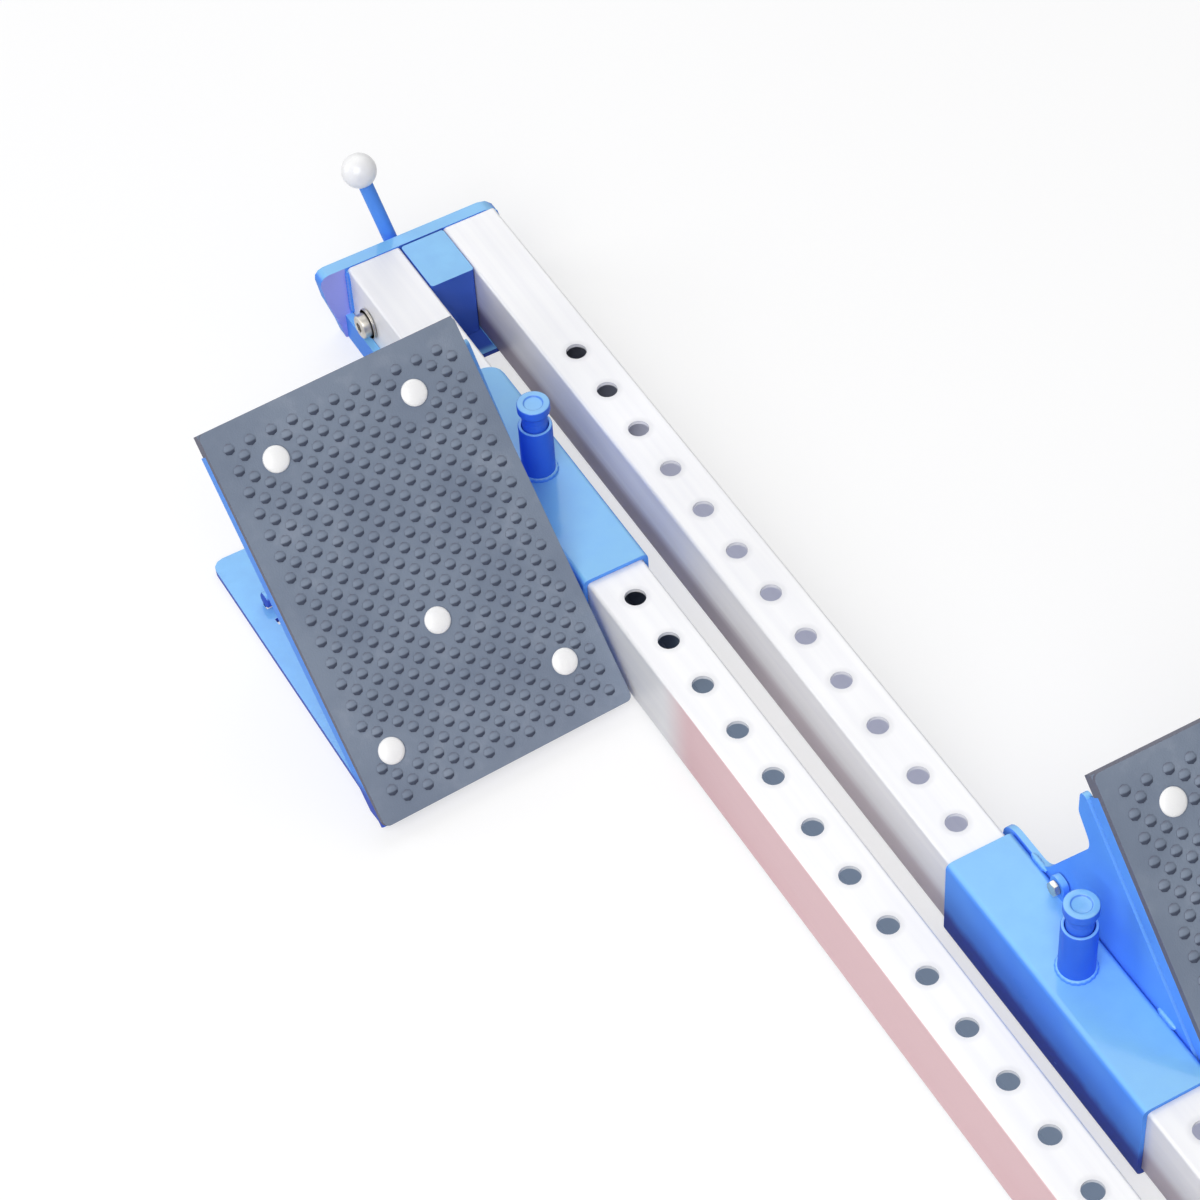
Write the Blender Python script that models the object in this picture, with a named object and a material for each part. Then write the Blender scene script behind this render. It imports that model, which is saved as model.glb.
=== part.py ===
# Starting blocks: two punched rails carried by an end bracket at each end, with a sliding
# pedal block on each rail. Metres, +Z up. The runner looks along +Y, and +X is to the right.
# The origin lies on the ground, under the middle of the rails.

import math

import bmesh
import bpy
from mathutils import Matrix, Vector

# Fit
GAP = 0.0003                    # between pieces that touch
FAR = 0.02                      # how far a cutter reaches past the piece that it cuts

# Rails
RAIL_LENGTH = 0.792
RAIL_WIDTH = 0.029
RAIL_HEIGHT = 0.042
RAIL_WALL = 0.002
RAIL_CORNER = 0.0018
RAIL_LIFT = 0.003               # underside of the rails above the ground
RAIL_SPACING = 0.0532           # between the rails' middles
HOLE_DIAMETER = 0.010
HOLE_PITCH = 0.030
HOLES_IN_GROUP = 10             # the row is punched in two groups
GROUP_STEP = 0.0324             # between the last hole of one group and the first of the next

# End brackets
BRACKET_PLATE = 0.007
BRACKET_HEIGHT = 0.0455
BRACKET_SIDE = 0.0175           # plain side, from the rail's middle
BRACKET_EAR = 0.0304            # wide side at the top, from the rail's middle
BRACKET_EAR_FOOT = 0.020        # wide side at the ground, from the rail's middle
BRACKET_CORNER = 0.009          # plain side's upper corner
FOOT_LENGTH = 0.049
LIP_LENGTH = 0.046
LIP_HEIGHT = 0.015
LIP_THICKNESS = 0.004
CROSS_LENGTH = 0.0335
CROSS_WALL = 0.0025
BOLT_DIAMETER = 0.008
BOLT_HEIGHT = 0.025             # above the ground
BOLT_SETBACK = 0.0205           # from the rail's end
BOLT_FIT = 0.0006
BOLT_WASHER = 0.016
BOLT_WASHER_THICKNESS = 0.0015
BOLT_HEAD = 0.0124
BOLT_HEAD_HEIGHT = 0.006        # washer and head together
BOLT_SOCKET = 0.0058            # across the corners
BOLT_SOCKET_DEPTH = 0.0035
BOLT_NUT = 0.015                # across the corners
BOLT_NUT_HEIGHT = 0.0042
BOLT_END = 0.001                # past the nut

# Ground pins
PIN_DIAMETER = 0.0073
PIN_FIT = 0.0006
PIN_LEAN = math.radians(13)
PIN_FOOT = 0.0020               # where the pin's axis meets the ground, from the middle
PIN_LENGTH = 0.092
PIN_POINT = 0.006
PIN_CLEAR = 0.0008              # raised tip above the ground
BALL_DIAMETER = 0.0175
BALL_SEAT = 0.007
GUIDE_DIAMETER = 0.0106
GUIDE_LENGTH = 0.032
GUIDE_START = 0.004             # along the pin's axis

# Sleeves
SLEEVE_LENGTH = 0.144
SLEEVE_WALL = 0.0022
SLEEVE_CORNER = 0.003
LUG_WIDTH = 0.010
LUG_THICKNESS = 0.003
CHEEK_BOLT_BACK = 0.035         # cheek bolt behind the plunger
CHEEK_BOLT_HEIGHT = 0.053       # cheek bolt above the ground
CHEEK_BOLT_DIAMETER = 0.004

# Spring plungers
TIP_DIAMETER = 0.009
STEM_DIAMETER = 0.0086
PLUNGER_FIT = 0.0006
COLLAR_DIAMETER = 0.012
COLLAR_HEIGHT = 0.002
COLLAR_LIFT = 0.0085            # above the sleeve, plunger raised
HOUSING_DIAMETER = 0.016
HOUSING_HEIGHT = 0.0305
HOUSING_LIP = 0.002
HOUSING_LIP_LIFT = 0.0185       # above the sleeve
WELD_RING = 0.0015
CAP_DIAMETER = 0.0155
CAP_THICKNESS = 0.005
CAP_EDGE = 0.0006
CAP_DISH = 0.009
CAP_DISH_DEPTH = 0.001
CAP_LIFT = 0.009                # plunger raised, gap between cap and housing
NECK_DIAMETER = 0.012
NECK_INSERT = 0.0015
SPRING_WIRE = 0.0011
SPRING_DIAMETER = 0.0105        # to the wire's middle
SPRING_TURNS = 4
SPRING_POINTS = 8               # in a turn

# Side cheeks and base plates
CHEEK_THICKNESS = 0.003
CHEEK_TAIL = 0.080              # behind the plunger
CHEEK_FRONT = 0.086             # ahead of the plunger
CHEEK_SHOULDER = 0.0485         # where the edge leaves the sleeve's top, behind the plunger
CHEEK_NECK = 0.019              # where the edge turns back to the horn, behind the plunger
CHEEK_NECK_HEIGHT = 0.096       # above the ground
CHEEK_HORN = 0.0293             # back of the horn, behind the plunger
CHEEK_HORN_HEIGHT = 0.109       # foot of the horn's upright back, above the ground
CHEEK_DROP = 0.0035             # sloped edge below the hinge's plane
CHEEK_CORNER = 0.010            # shoulder and tail; the horn has shares of it
PLATE_CORNER = 0.002            # small corners of cheeks, base plates and feet
BASE_THICKNESS = 0.003
BASE_WIDTH = 0.1266
BASE_TAIL = 0.067               # behind the plunger
BASE_LEAD = 0.0048              # past the hinge
NOTCH_WIDTH = 0.004
NOTCH_STEP = math.radians(5)
NOTCHES = 5                     # the first holds the pedal at its lowest, as in the photo

# Pedals
PEDAL_TILT = math.radians(43)
PEDAL_WIDTH = 0.129
PEDAL_LENGTH = 0.191
PEDAL_START = 0.0180            # inner edge, from the rail's middle
PEDAL_OVERHANG = 0.0095         # lower edge past the hinge, along the pedal
PEDAL_CORNER = 0.003
PEDAL_SHEET = 0.0025
PEDAL_FLANGE = 0.0062           # flange below the sheet
RUBBER_THICKNESS = 0.004
HINGE_AHEAD = 0.1032            # ahead of the plunger
HINGE_DIAMETER = 0.008
HINGE_PIN = 0.004
HINGE_FIT = 0.0006
KNUCKLE_WIDTH = 0.013
KNUCKLE_SETBACK = 0.005         # first knuckle, from the cheek
RIVET_HEAD = 0.011
RIVET_DOME = 0.0027
RIVET_SHANK = 0.005
RIVET_FIT = 0.0006
RIVET_TAIL = 0.008
RIVET_TAIL_HEIGHT = 0.0016
RIVET_TOP = 0.0235              # upper two, from the pedal's upper edge
RIVET_TOP_LEFT = 0.0315         # from the pedal's left edge
RIVET_TOP_RIGHT = 0.0270        # from the pedal's right edge
RIVET_MIDDLE = 0.0720           # middle one, from the pedal's lower edge
RIVET_MIDDLE_SHIFT = 0.0025     # to the right of the pedal's middle
RIVET_LOW = 0.0295              # lower two, from the pedal's lower edge
RIVET_LOW_LEFT = 0.0215
RIVET_LOW_RIGHT = 0.0170

# Props
PROP_LENGTH = 0.092             # pivot to foot, and hinge to pivot
PROP_ARM = 0.005
PROP_ARM_WIDTH = 0.0068
PROP_ARM_START = 0.045          # from the rail's middle
PROP_INSET = 0.0239             # outer arm, from the base plate's outer edge
PROP_EAR = 0.0067
PROP_FOOT_REACH = 0.007         # foot bar past the arms
PROP_PIN_HEAD = 0.006
PROP_PIN_HEAD_HEIGHT = 0.0015

# Blocks: side of the rails, the hole that the plunger stands over, and how far the hinge is
# turned on the base plate
BLOCKS = (("right", 1, 2, math.radians(2.9)), ("left", -1, 14, 0.0))

# Sizes that follow from those above
RAIL_TOP = RAIL_LIFT + RAIL_HEIGHT
SLEEVE_BORE_BOTTOM = RAIL_LIFT - GAP
SLEEVE_BOTTOM = SLEEVE_BORE_BOTTOM - SLEEVE_WALL
SLEEVE_BORE_TOP = RAIL_TOP + GAP
SLEEVE_TOP = SLEEVE_BORE_TOP + SLEEVE_WALL
SLEEVE_BORE_SIDE = RAIL_WIDTH / 2 + GAP
SLEEVE_SIDE = SLEEVE_BORE_SIDE + SLEEVE_WALL
CHEEK_START = SLEEVE_SIDE + GAP
CHEEK_BOTTOM = BASE_THICKNESS + GAP
LUG_START = SLEEVE_SIDE - GAP - LUG_THICKNESS
HINGE_HEIGHT = BASE_THICKNESS + GAP + HINGE_DIAMETER / 2
SHEET_BACK = HINGE_DIAMETER / 2 + GAP
SHEET_FACE = SHEET_BACK + PEDAL_SHEET
RUBBER_BACK = SHEET_FACE + GAP
RUBBER_FACE = RUBBER_BACK + RUBBER_THICKNESS
FOOT_DIAMETER = 2 * (HINGE_HEIGHT - BASE_THICKNESS - GAP)
PEDAL_MIDDLE = PEDAL_START + PEDAL_WIDTH / 2
PROP_ARM_END = CHEEK_START + BASE_WIDTH - PROP_INSET

ROUND = 18                      # sides of a round piece
SMALL_ROUND = 12                # sides of a bore or a small pin
HOLE_ROUND = 16                 # sides of a punched hole
DOME_STEPS = 3                  # rings of a domed head
BALL_STEPS = 8                  # rings of a ball


# Outlines

def rounded(corners, steps=3):
    """Points of an outline whose corners are (a, b, radius); a corner of no radius stays sharp."""
    points = []
    for index, (a, b, radius) in enumerate(corners):
        here = Vector((a, b))
        if radius <= 0:
            points.append(here)
            continue
        back = (Vector(corners[index - 1][:2]) - here).normalized()
        ahead = (Vector(corners[(index + 1) % len(corners)][:2]) - here).normalized()
        half = back.angle(ahead) / 2
        centre = here + (back + ahead).normalized() * radius / math.sin(half)
        start = here + back * radius / math.tan(half) - centre
        turn = start.angle_signed(here + ahead * radius / math.tan(half) - centre)
        for step in range(steps + 1):
            points.append(centre + start @ Matrix.Rotation(turn * step / steps, 2))
    return points


def rectangle(left, bottom, right, top, radius=0.0):
    corners = ((left, bottom), (right, bottom), (right, top), (left, top))
    return rounded([(a, b, radius) for a, b in corners])


def circle(radius, sides=ROUND, centre=(0, 0)):
    turns = [math.tau * (side + 0.5) / sides for side in range(sides)]
    return [Vector(centre) + Vector((math.cos(turn), math.sin(turn))) * radius for turn in turns]


def lug(radius, reach, down=False, sides=SMALL_ROUND):
    """Outline of an eye about the origin, with a straight root that reaches up, or down."""
    way = -1 if down else 1
    arc = [math.pi * side / (sides / 2) for side in range(sides // 2 + 1)]
    points = [Vector((radius * math.cos(turn), -way * radius * math.sin(turn))) for turn in arc]
    return points + [Vector((-radius, way * reach)), Vector((radius, way * reach))]


# Solids

PLANES = {
    "X": lambda a, b, height: (height, a, b),
    "Y": lambda a, b, height: (a, height, b),
    "Z": lambda a, b, height: (a, b, height),
}


def prism(outline, low, high, axis):
    """A straight solid with this outline, from low to high along the axis."""
    bm = bmesh.new()
    place = PLANES[axis]
    face = bm.faces.new([bm.verts.new(place(a, b, low)) for a, b in outline])
    made = bmesh.ops.extrude_face_region(bm, geom=[face])["geom"]
    ends = [item for item in made if isinstance(item, bmesh.types.BMVert)]
    bmesh.ops.translate(bm, verts=ends, vec=place(0, 0, high - low))
    bmesh.ops.recalc_face_normals(bm, faces=bm.faces)
    return bm


def turned(profile, sides=ROUND, ring=False):
    """A round solid about Z. The profile is (radius, height); a ring's profile closes on itself."""
    bm = bmesh.new()
    points = [bm.verts.new((radius, 0, height)) for radius, height in profile]
    edges = [bm.edges.new(pair) for pair in zip(points, points[1:])]
    if ring:
        edges.append(bm.edges.new((points[-1], points[0])))
    bmesh.ops.spin(
        bm, geom=points + edges, cent=(0, 0, 0), axis=(0, 0, 1), angle=math.tau, steps=sides,
        use_merge=True,
    )
    bmesh.ops.remove_doubles(bm, verts=bm.verts, dist=1e-6)
    bmesh.ops.recalc_face_normals(bm, faces=bm.faces)
    return bm


def moved(bm, x=0.0, y=0.0, z=0.0):
    bmesh.ops.translate(bm, verts=bm.verts, vec=(x, y, z))
    return bm


def seated(bm, place):
    bmesh.ops.transform(bm, verts=bm.verts, matrix=place)
    return bm


def rod(diameter, start, end, axis="X", centre=(0, 0), sides=SMALL_ROUND):
    return prism(circle(diameter / 2, sides, centre), start, end, axis)


def together(*solids):
    """One mesh that holds all the solids; they stay separate bodies."""
    whole = bmesh.new()
    for solid in solids:
        mesh = bpy.data.meshes.new("joined")
        solid.to_mesh(mesh)
        solid.free()
        whole.from_mesh(mesh)
        bpy.data.meshes.remove(mesh)
    return whole


# Objects

def finish(name, colour, roughness, metallic):
    material = bpy.data.materials.new(name)
    material.use_nodes = True
    shader = material.node_tree.nodes["Principled BSDF"]
    shader.inputs["Base Color"].default_value = (*colour, 1)
    shader.inputs["Roughness"].default_value = roughness
    shader.inputs["Metallic"].default_value = metallic
    return material


def place_empty(name, parent=None, location=(0, 0, 0), rotation=(0, 0, 0)):
    empty = bpy.data.objects.new(name, None)
    empty.parent = parent
    empty.location = location
    empty.rotation_euler = rotation
    bpy.context.scene.collection.objects.link(empty)
    return empty


def mesh_object(name, bm, parent, mirrored):
    if mirrored:
        bmesh.ops.scale(bm, vec=(-1, 1, 1), verts=bm.verts)
        bmesh.ops.reverse_faces(bm, faces=bm.faces)
    mesh = bpy.data.meshes.new(name)
    bm.to_mesh(mesh)
    bm.free()
    obj = bpy.data.objects.new(name, mesh)
    obj.parent = parent
    bpy.context.scene.collection.objects.link(obj)
    return obj


def add(name, bm, material, parent, mirrored=False):
    """A piece of the part. Its mesh is given about its parent's origin, for the right side."""
    obj = mesh_object(name, bm, parent, mirrored)
    obj.data.materials.append(material)
    obj.data.shade_smooth()
    obj.data.set_sharp_from_angle(angle=math.radians(30))
    return obj


def change(obj, operation, bm, mirrored=False):
    """Joins a solid to the object, or cuts it away, with a hidden helper."""
    helper = mesh_object(f"{obj.name}_{operation.lower()}", bm, obj.parent, mirrored)
    helper.hide_render = True
    helper.display_type = "WIRE"
    boolean = obj.modifiers.new(operation.title(), "BOOLEAN")
    boolean.operation = operation
    boolean.object = helper
    boolean.solver = "EXACT"


def cut(obj, bm, mirrored=False):
    change(obj, "DIFFERENCE", bm, mirrored)


def fuse(obj, bm, mirrored=False):
    change(obj, "UNION", bm, mirrored)


# Rails and brackets

def hole_places():
    """The hole middles along Y, two groups about the rail's middle."""
    places = []
    for group in (-1, 1):
        for hole in range(HOLES_IN_GROUP):
            places.append(group * (GROUP_STEP / 2 + hole * HOLE_PITCH))
    return sorted(places)


def bolt_hole(y, start, end):
    return rod(BOLT_DIAMETER + BOLT_FIT, start, end, "X", (y, BOLT_HEIGHT))


def add_rail(name, side, root, metal):
    middle = side * RAIL_SPACING / 2
    half = RAIL_WIDTH / 2
    reach = RAIL_LENGTH / 2
    bolt_y = reach - BOLT_SETBACK
    outer = rectangle(middle - half, RAIL_LIFT, middle + half, RAIL_TOP, RAIL_CORNER)
    rail = add(name, prism(outer, -reach, reach, "Y"), metal, root)
    inner = rectangle(
        middle - half + RAIL_WALL, RAIL_LIFT + RAIL_WALL, middle + half - RAIL_WALL, RAIL_TOP - RAIL_WALL
    )
    cut(rail, prism(inner, -reach - FAR, reach + FAR, "Y"))
    holes = [
        rod(HOLE_DIAMETER, RAIL_TOP - 2 * RAIL_WALL, RAIL_TOP + RAIL_WALL, "Z", (middle, y), HOLE_ROUND)
        for y in hole_places()
    ]
    cut(rail, together(*holes))
    bolts = [bolt_hole(end * bolt_y, middle - half - FAR, middle + half + FAR) for end in (-1, 1)]
    cut(rail, together(*bolts))


def add_end(name, root, blue, zinc, white):
    """One end of the frame. It is drawn at the rear; root turns it about Z for the front."""
    end = -RAIL_LENGTH / 2
    plate_front = end - GAP
    plate_back = plate_front - BRACKET_PLATE
    middle = RAIL_SPACING / 2
    plain = -middle - BRACKET_SIDE
    rail_side = middle + RAIL_WIDTH / 2
    foot_top = RAIL_LIFT - GAP

    # Upright plate, wider at the top on one side
    outline = rounded((
        (plain, 0, PLATE_CORNER / 2),
        (middle + BRACKET_EAR_FOOT, 0, PLATE_CORNER / 2),
        (middle + BRACKET_EAR_FOOT * 1.1, BRACKET_HEIGHT * 0.2, BRACKET_CORNER * 0.45),
        (middle + BRACKET_EAR * 0.9, BRACKET_HEIGHT * 0.6, BRACKET_CORNER * 0.65),
        (middle + BRACKET_EAR, BRACKET_HEIGHT, BRACKET_CORNER * 0.55),
        (plain, BRACKET_HEIGHT, BRACKET_CORNER),
    ))
    bracket = add(f"{name}_end_bracket", prism(outline, plate_back, plate_front, "Y"), blue, root)
    overlap = plate_front - BRACKET_PLATE / 2
    lip_start = rail_side + GAP
    foot = rectangle(plain, overlap, lip_start + LIP_THICKNESS / 2, end + FOOT_LENGTH, PLATE_CORNER)
    fuse(bracket, prism(foot, 0, foot_top, "Z"))
    lip = rounded((
        (overlap, 0, 0),
        (end + LIP_LENGTH, 0, 0),
        (end + LIP_LENGTH, LIP_HEIGHT, LIP_HEIGHT * 0.4),
        (overlap, LIP_HEIGHT, 0),
    ))
    fuse(bracket, prism(lip, lip_start, lip_start + LIP_THICKNESS, "X"))

    # Folded box between the rails, open underneath
    half = (RAIL_SPACING - RAIL_WIDTH) / 2 - GAP
    box = rectangle(-half, end + GAP, half, end + CROSS_LENGTH, 0.0015)
    cross = add(f"{name}_cross_member", prism(box, RAIL_LIFT, RAIL_TOP, "Z"), blue, root)
    inside = rectangle(
        -half + CROSS_WALL, end + GAP + CROSS_WALL, half - CROSS_WALL, end + CROSS_LENGTH - CROSS_WALL
    )
    cut(cross, prism(inside, -FAR, RAIL_TOP - CROSS_WALL, "Z"))
    bolt_y = end + BOLT_SETBACK
    cut(cross, bolt_hole(bolt_y, -half - FAR, half + FAR))

    # Bolt right through both rails and the box
    head = rail_side + GAP
    face = head + BOLT_HEAD_HEIGHT
    thread_end = -head - BOLT_NUT_HEIGHT - BOLT_END
    at = (bolt_y, BOLT_HEIGHT)
    bolt = rod(BOLT_DIAMETER, thread_end, head + BOLT_HEAD_HEIGHT / 2, "X", at)
    bolt = add(f"{name}_cross_bolt", bolt, zinc, root)
    washer = circle(BOLT_WASHER / 2, ROUND, at)
    fuse(bolt, prism(washer, head, head + BOLT_WASHER_THICKNESS, "X"))
    crown = circle(BOLT_HEAD / 2, ROUND, at)
    fuse(bolt, prism(crown, head + BOLT_WASHER_THICKNESS / 2, face, "X"))
    cut(bolt, prism(circle(BOLT_SOCKET / 2, 6, at), face - BOLT_SOCKET_DEPTH, face + FAR, "X"))
    nut = prism(circle(BOLT_NUT / 2, 6, at), -head - BOLT_NUT_HEIGHT, -head, "X")
    nut = add(f"{name}_cross_nut", nut, zinc, root)
    cut(nut, rod(BOLT_DIAMETER + BOLT_FIT, -head - FAR, -head + FAR, "X", at))

    # Pin through a raked tube behind the plate
    guide_y = plate_back - GAP - GUIDE_DIAMETER / 2
    rake = place_empty(f"{name}_pin_axis", root, (PIN_FOOT, guide_y, 0), (0, PIN_LEAN, 0))
    ring = (
        (PIN_DIAMETER / 2 + PIN_FIT / 2, GUIDE_START),
        (PIN_DIAMETER / 2 + PIN_FIT / 2, GUIDE_START + GUIDE_LENGTH),
        (GUIDE_DIAMETER / 2, GUIDE_START + GUIDE_LENGTH),
        (GUIDE_DIAMETER / 2, GUIDE_START),
    )
    add(f"{name}_pin_guide", turned(ring, SMALL_ROUND, ring=True), blue, rake)
    tip = PIN_CLEAR / math.cos(PIN_LEAN)
    stem = (
        (0, tip),
        (PIN_DIAMETER / 6, tip),
        (PIN_DIAMETER / 2, tip + PIN_POINT),
        (PIN_DIAMETER / 2, tip + PIN_LENGTH),
        (0, tip + PIN_LENGTH),
    )
    add(f"{name}_ground_pin", turned(stem, SMALL_ROUND), blue, rake)
    ball_radius = BALL_DIAMETER / 2
    bore = PIN_DIAMETER / 2 + GAP
    centre = tip + PIN_LENGTH - BALL_SEAT + math.sqrt(ball_radius**2 - bore**2)
    opening = math.asin(bore / ball_radius)
    turns = [(math.pi - opening) * (1 - step / BALL_STEPS) for step in range(BALL_STEPS + 1)]
    ball = [(ball_radius * math.sin(turn), centre + ball_radius * math.cos(turn)) for turn in turns]
    ball[-1] = (0, centre + ball_radius)
    seat = tip + PIN_LENGTH + GAP
    add(f"{name}_pin_ball", turned([(0, seat), (bore, seat)] + ball), white, rake)


# Sleeve, plunger, cheek and base plate, about the point on the ground under the plunger

def cheek_bolt_hole(start, end):
    at = (-CHEEK_BOLT_BACK, CHEEK_BOLT_HEIGHT)
    return rod(CHEEK_BOLT_DIAMETER + BOLT_FIT, start, end, "X", at)


def add_sleeve(side, block, flip, blue):
    half = SLEEVE_LENGTH / 2
    outer = rectangle(-SLEEVE_SIDE, SLEEVE_BOTTOM, SLEEVE_SIDE, SLEEVE_TOP, SLEEVE_CORNER)
    sleeve = add(f"{side}_sleeve", prism(outer, -half, half, "Y"), blue, block, flip)
    ear = rounded((
        (-CHEEK_BOLT_BACK - LUG_WIDTH / 2, SLEEVE_BORE_TOP + SLEEVE_WALL / 2, 0),
        (-CHEEK_BOLT_BACK + LUG_WIDTH / 2, SLEEVE_BORE_TOP + SLEEVE_WALL / 2, 0),
        (-CHEEK_BOLT_BACK + LUG_WIDTH / 2, CHEEK_BOLT_HEIGHT + LUG_WIDTH / 2, LUG_WIDTH * 0.45),
        (-CHEEK_BOLT_BACK - LUG_WIDTH / 2, CHEEK_BOLT_HEIGHT + LUG_WIDTH / 2, LUG_WIDTH * 0.45),
    ), 4)
    fuse(sleeve, prism(ear, LUG_START, LUG_START + LUG_THICKNESS, "X"), flip)
    bore = rectangle(
        -SLEEVE_BORE_SIDE, SLEEVE_BORE_BOTTOM, SLEEVE_BORE_SIDE, SLEEVE_BORE_TOP, RAIL_CORNER + GAP
    )
    cut(sleeve, prism(bore, -half - FAR, half + FAR, "Y"), flip)
    top = rod(TIP_DIAMETER + PLUNGER_FIT, RAIL_TOP - FAR / 2, SLEEVE_TOP + FAR, "Z")
    cut(sleeve, top, flip)
    cut(sleeve, cheek_bolt_hole(LUG_START - FAR / 2, SLEEVE_SIDE + FAR), flip)


def add_plunger(side, block, flip, blue, steel):
    fit = PLUNGER_FIT / 2
    base = SLEEVE_TOP + GAP
    housing_top = SLEEVE_TOP + HOUSING_HEIGHT
    housing = HOUSING_DIAMETER / 2
    chamber = COLLAR_DIAMETER / 2 + fit
    lip = SLEEVE_TOP + HOUSING_LIP_LIFT
    shell = (
        (chamber, base),
        (chamber, lip),
        (STEM_DIAMETER / 2 + fit * 1.5, lip),
        (STEM_DIAMETER / 2 + fit * 1.5, lip + HOUSING_LIP),
        (NECK_DIAMETER / 2 + fit, lip + HOUSING_LIP),
        (NECK_DIAMETER / 2 + fit, housing_top),
        (housing - CAP_EDGE, housing_top),
        (housing, housing_top - CAP_EDGE),
        (housing, base + WELD_RING * 1.6),
        (housing + WELD_RING, base + WELD_RING * 0.6),
        (housing + WELD_RING, base),
    )
    add(f"{side}_plunger_housing", turned(shell, ring=True), blue, block, flip)

    collar = SLEEVE_TOP + COLLAR_LIFT
    cap_bottom = housing_top + CAP_LIFT
    cap_top = cap_bottom + CAP_THICKNESS
    stem_top = cap_top - CAP_DISH_DEPTH * 6
    tip = TIP_DIAMETER / 2
    pin = (
        (0, SLEEVE_BORE_TOP),
        (tip * 0.8, SLEEVE_BORE_TOP),
        (tip, SLEEVE_BORE_TOP + tip * 0.2),
        (tip, collar),
        (COLLAR_DIAMETER / 2, collar),
        (COLLAR_DIAMETER / 2, collar + COLLAR_HEIGHT),
        (STEM_DIAMETER / 2, collar + COLLAR_HEIGHT),
        (STEM_DIAMETER / 2, stem_top),
        (0, stem_top),
    )
    add(f"{side}_plunger_pin", turned(pin), steel, block, flip)
    cap = CAP_DIAMETER / 2
    neck_bottom = housing_top - NECK_INSERT
    knob = (
        (0, stem_top + GAP),
        (STEM_DIAMETER / 2 + GAP, stem_top + GAP),
        (STEM_DIAMETER / 2 + GAP, neck_bottom),
        (NECK_DIAMETER / 2, neck_bottom),
        (NECK_DIAMETER / 2, cap_bottom),
        (cap - CAP_EDGE, cap_bottom),
        (cap, cap_bottom + CAP_EDGE),
        (cap, cap_top - CAP_EDGE),
        (cap - CAP_EDGE, cap_top),
        (CAP_DISH / 2, cap_top),
        (CAP_DISH / 2 - CAP_EDGE, cap_top - CAP_DISH_DEPTH),
        (0, cap_top - CAP_DISH_DEPTH),
    )
    add(f"{side}_plunger_cap", turned(knob), blue, block, flip)
    add_spring(side, block, flip, steel, collar + COLLAR_HEIGHT, lip)


def add_spring(side, block, flip, steel, bottom, top):
    """The coil round the stem, from the collar up to the housing's lip, as one unbroken wire."""
    wire = SPRING_WIRE / 2
    start = bottom + GAP + wire
    rise = top - GAP - wire - start
    count = SPRING_TURNS * SPRING_POINTS
    curve = bpy.data.curves.new(f"{side}_plunger_spring", "CURVE")
    curve.dimensions = "3D"
    curve.bevel_depth = wire
    curve.bevel_resolution = 1
    curve.use_fill_caps = True
    spline = curve.splines.new("POLY")
    spline.points.add(count)
    way = -1 if flip else 1
    for index in range(count + 1):
        turn = way * math.tau * index / SPRING_POINTS
        x = SPRING_DIAMETER / 2 * math.cos(turn)
        y = SPRING_DIAMETER / 2 * math.sin(turn)
        spline.points[index].co = (x, y, start + rise * index / count, 1)
    curve.materials.append(steel)
    spring = bpy.data.objects.new(f"{side}_plunger_spring", curve)
    spring.parent = block
    bpy.context.scene.collection.objects.link(spring)
    print(f"{side} spring: least gap between turns {1000 * (rise / SPRING_TURNS - SPRING_WIRE):.2f} mm")


def add_cheek(side, block, flip, seat, blue, zinc):
    """The upright side plate, seated beside the sleeve and on the base plate."""
    slope = math.tan(PEDAL_TILT)
    drop = CHEEK_DROP / math.cos(PEDAL_TILT)
    ahead = (seat @ Vector((CHEEK_START, 0, 0))).y
    front_height = HINGE_HEIGHT + slope * (ahead - CHEEK_FRONT) - drop
    tip_height = HINGE_HEIGHT + slope * (ahead + CHEEK_HORN) - drop
    top = SLEEVE_TOP
    outline = rounded((
        (-BASE_TAIL, CHEEK_BOTTOM, PLATE_CORNER),
        (CHEEK_FRONT, CHEEK_BOTTOM, PLATE_CORNER),
        (CHEEK_FRONT, front_height, CHEEK_CORNER * 0.6),
        (-CHEEK_HORN, tip_height, CHEEK_CORNER * 0.3),
        (-CHEEK_HORN, CHEEK_HORN_HEIGHT, CHEEK_CORNER * 0.5),
        (-CHEEK_NECK, CHEEK_NECK_HEIGHT, CHEEK_CORNER * 0.7),
        (-CHEEK_SHOULDER, top, CHEEK_CORNER),
        (-CHEEK_TAIL, top, CHEEK_CORNER),
        (-CHEEK_TAIL, top * 0.5, CHEEK_CORNER * 0.8),
    ), 5)
    end = CHEEK_START + CHEEK_THICKNESS
    cheek = add(f"{side}_side_cheek", prism(outline, CHEEK_START, end, "X"), blue, block, flip)
    cut(cheek, cheek_bolt_hole(CHEEK_START - FAR, end + FAR), flip)

    at = (-CHEEK_BOLT_BACK, CHEEK_BOLT_HEIGHT)
    head = LUG_START - GAP
    bolt = rod(CHEEK_BOLT_DIAMETER, head - CHEEK_BOLT_DIAMETER / 3, end + CHEEK_BOLT_DIAMETER, "X", at)
    bolt = add(f"{side}_cheek_bolt", bolt, zinc, block, flip)
    hexagon = circle(CHEEK_BOLT_DIAMETER * 0.92, 6, at)
    fuse(bolt, prism(hexagon, head - CHEEK_BOLT_DIAMETER * 0.65, head, "X"), flip)
    nut = prism(hexagon, end + GAP, end + GAP + CHEEK_BOLT_DIAMETER * 0.8, "X")
    nut = add(f"{side}_cheek_nut", nut, zinc, block, flip)
    cut(nut, cheek_bolt_hole(end - FAR, end + FAR), flip)


def hinge_seat(skew):
    """Sets things drawn about the hinge's line on the base plate, turned about their middle."""
    ahead = Matrix.Translation((PEDAL_MIDDLE, HINGE_AHEAD, 0))
    back = Matrix.Translation((-PEDAL_MIDDLE, 0, 0))
    return ahead @ Matrix.Rotation(skew, 4, "Z") @ back


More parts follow.
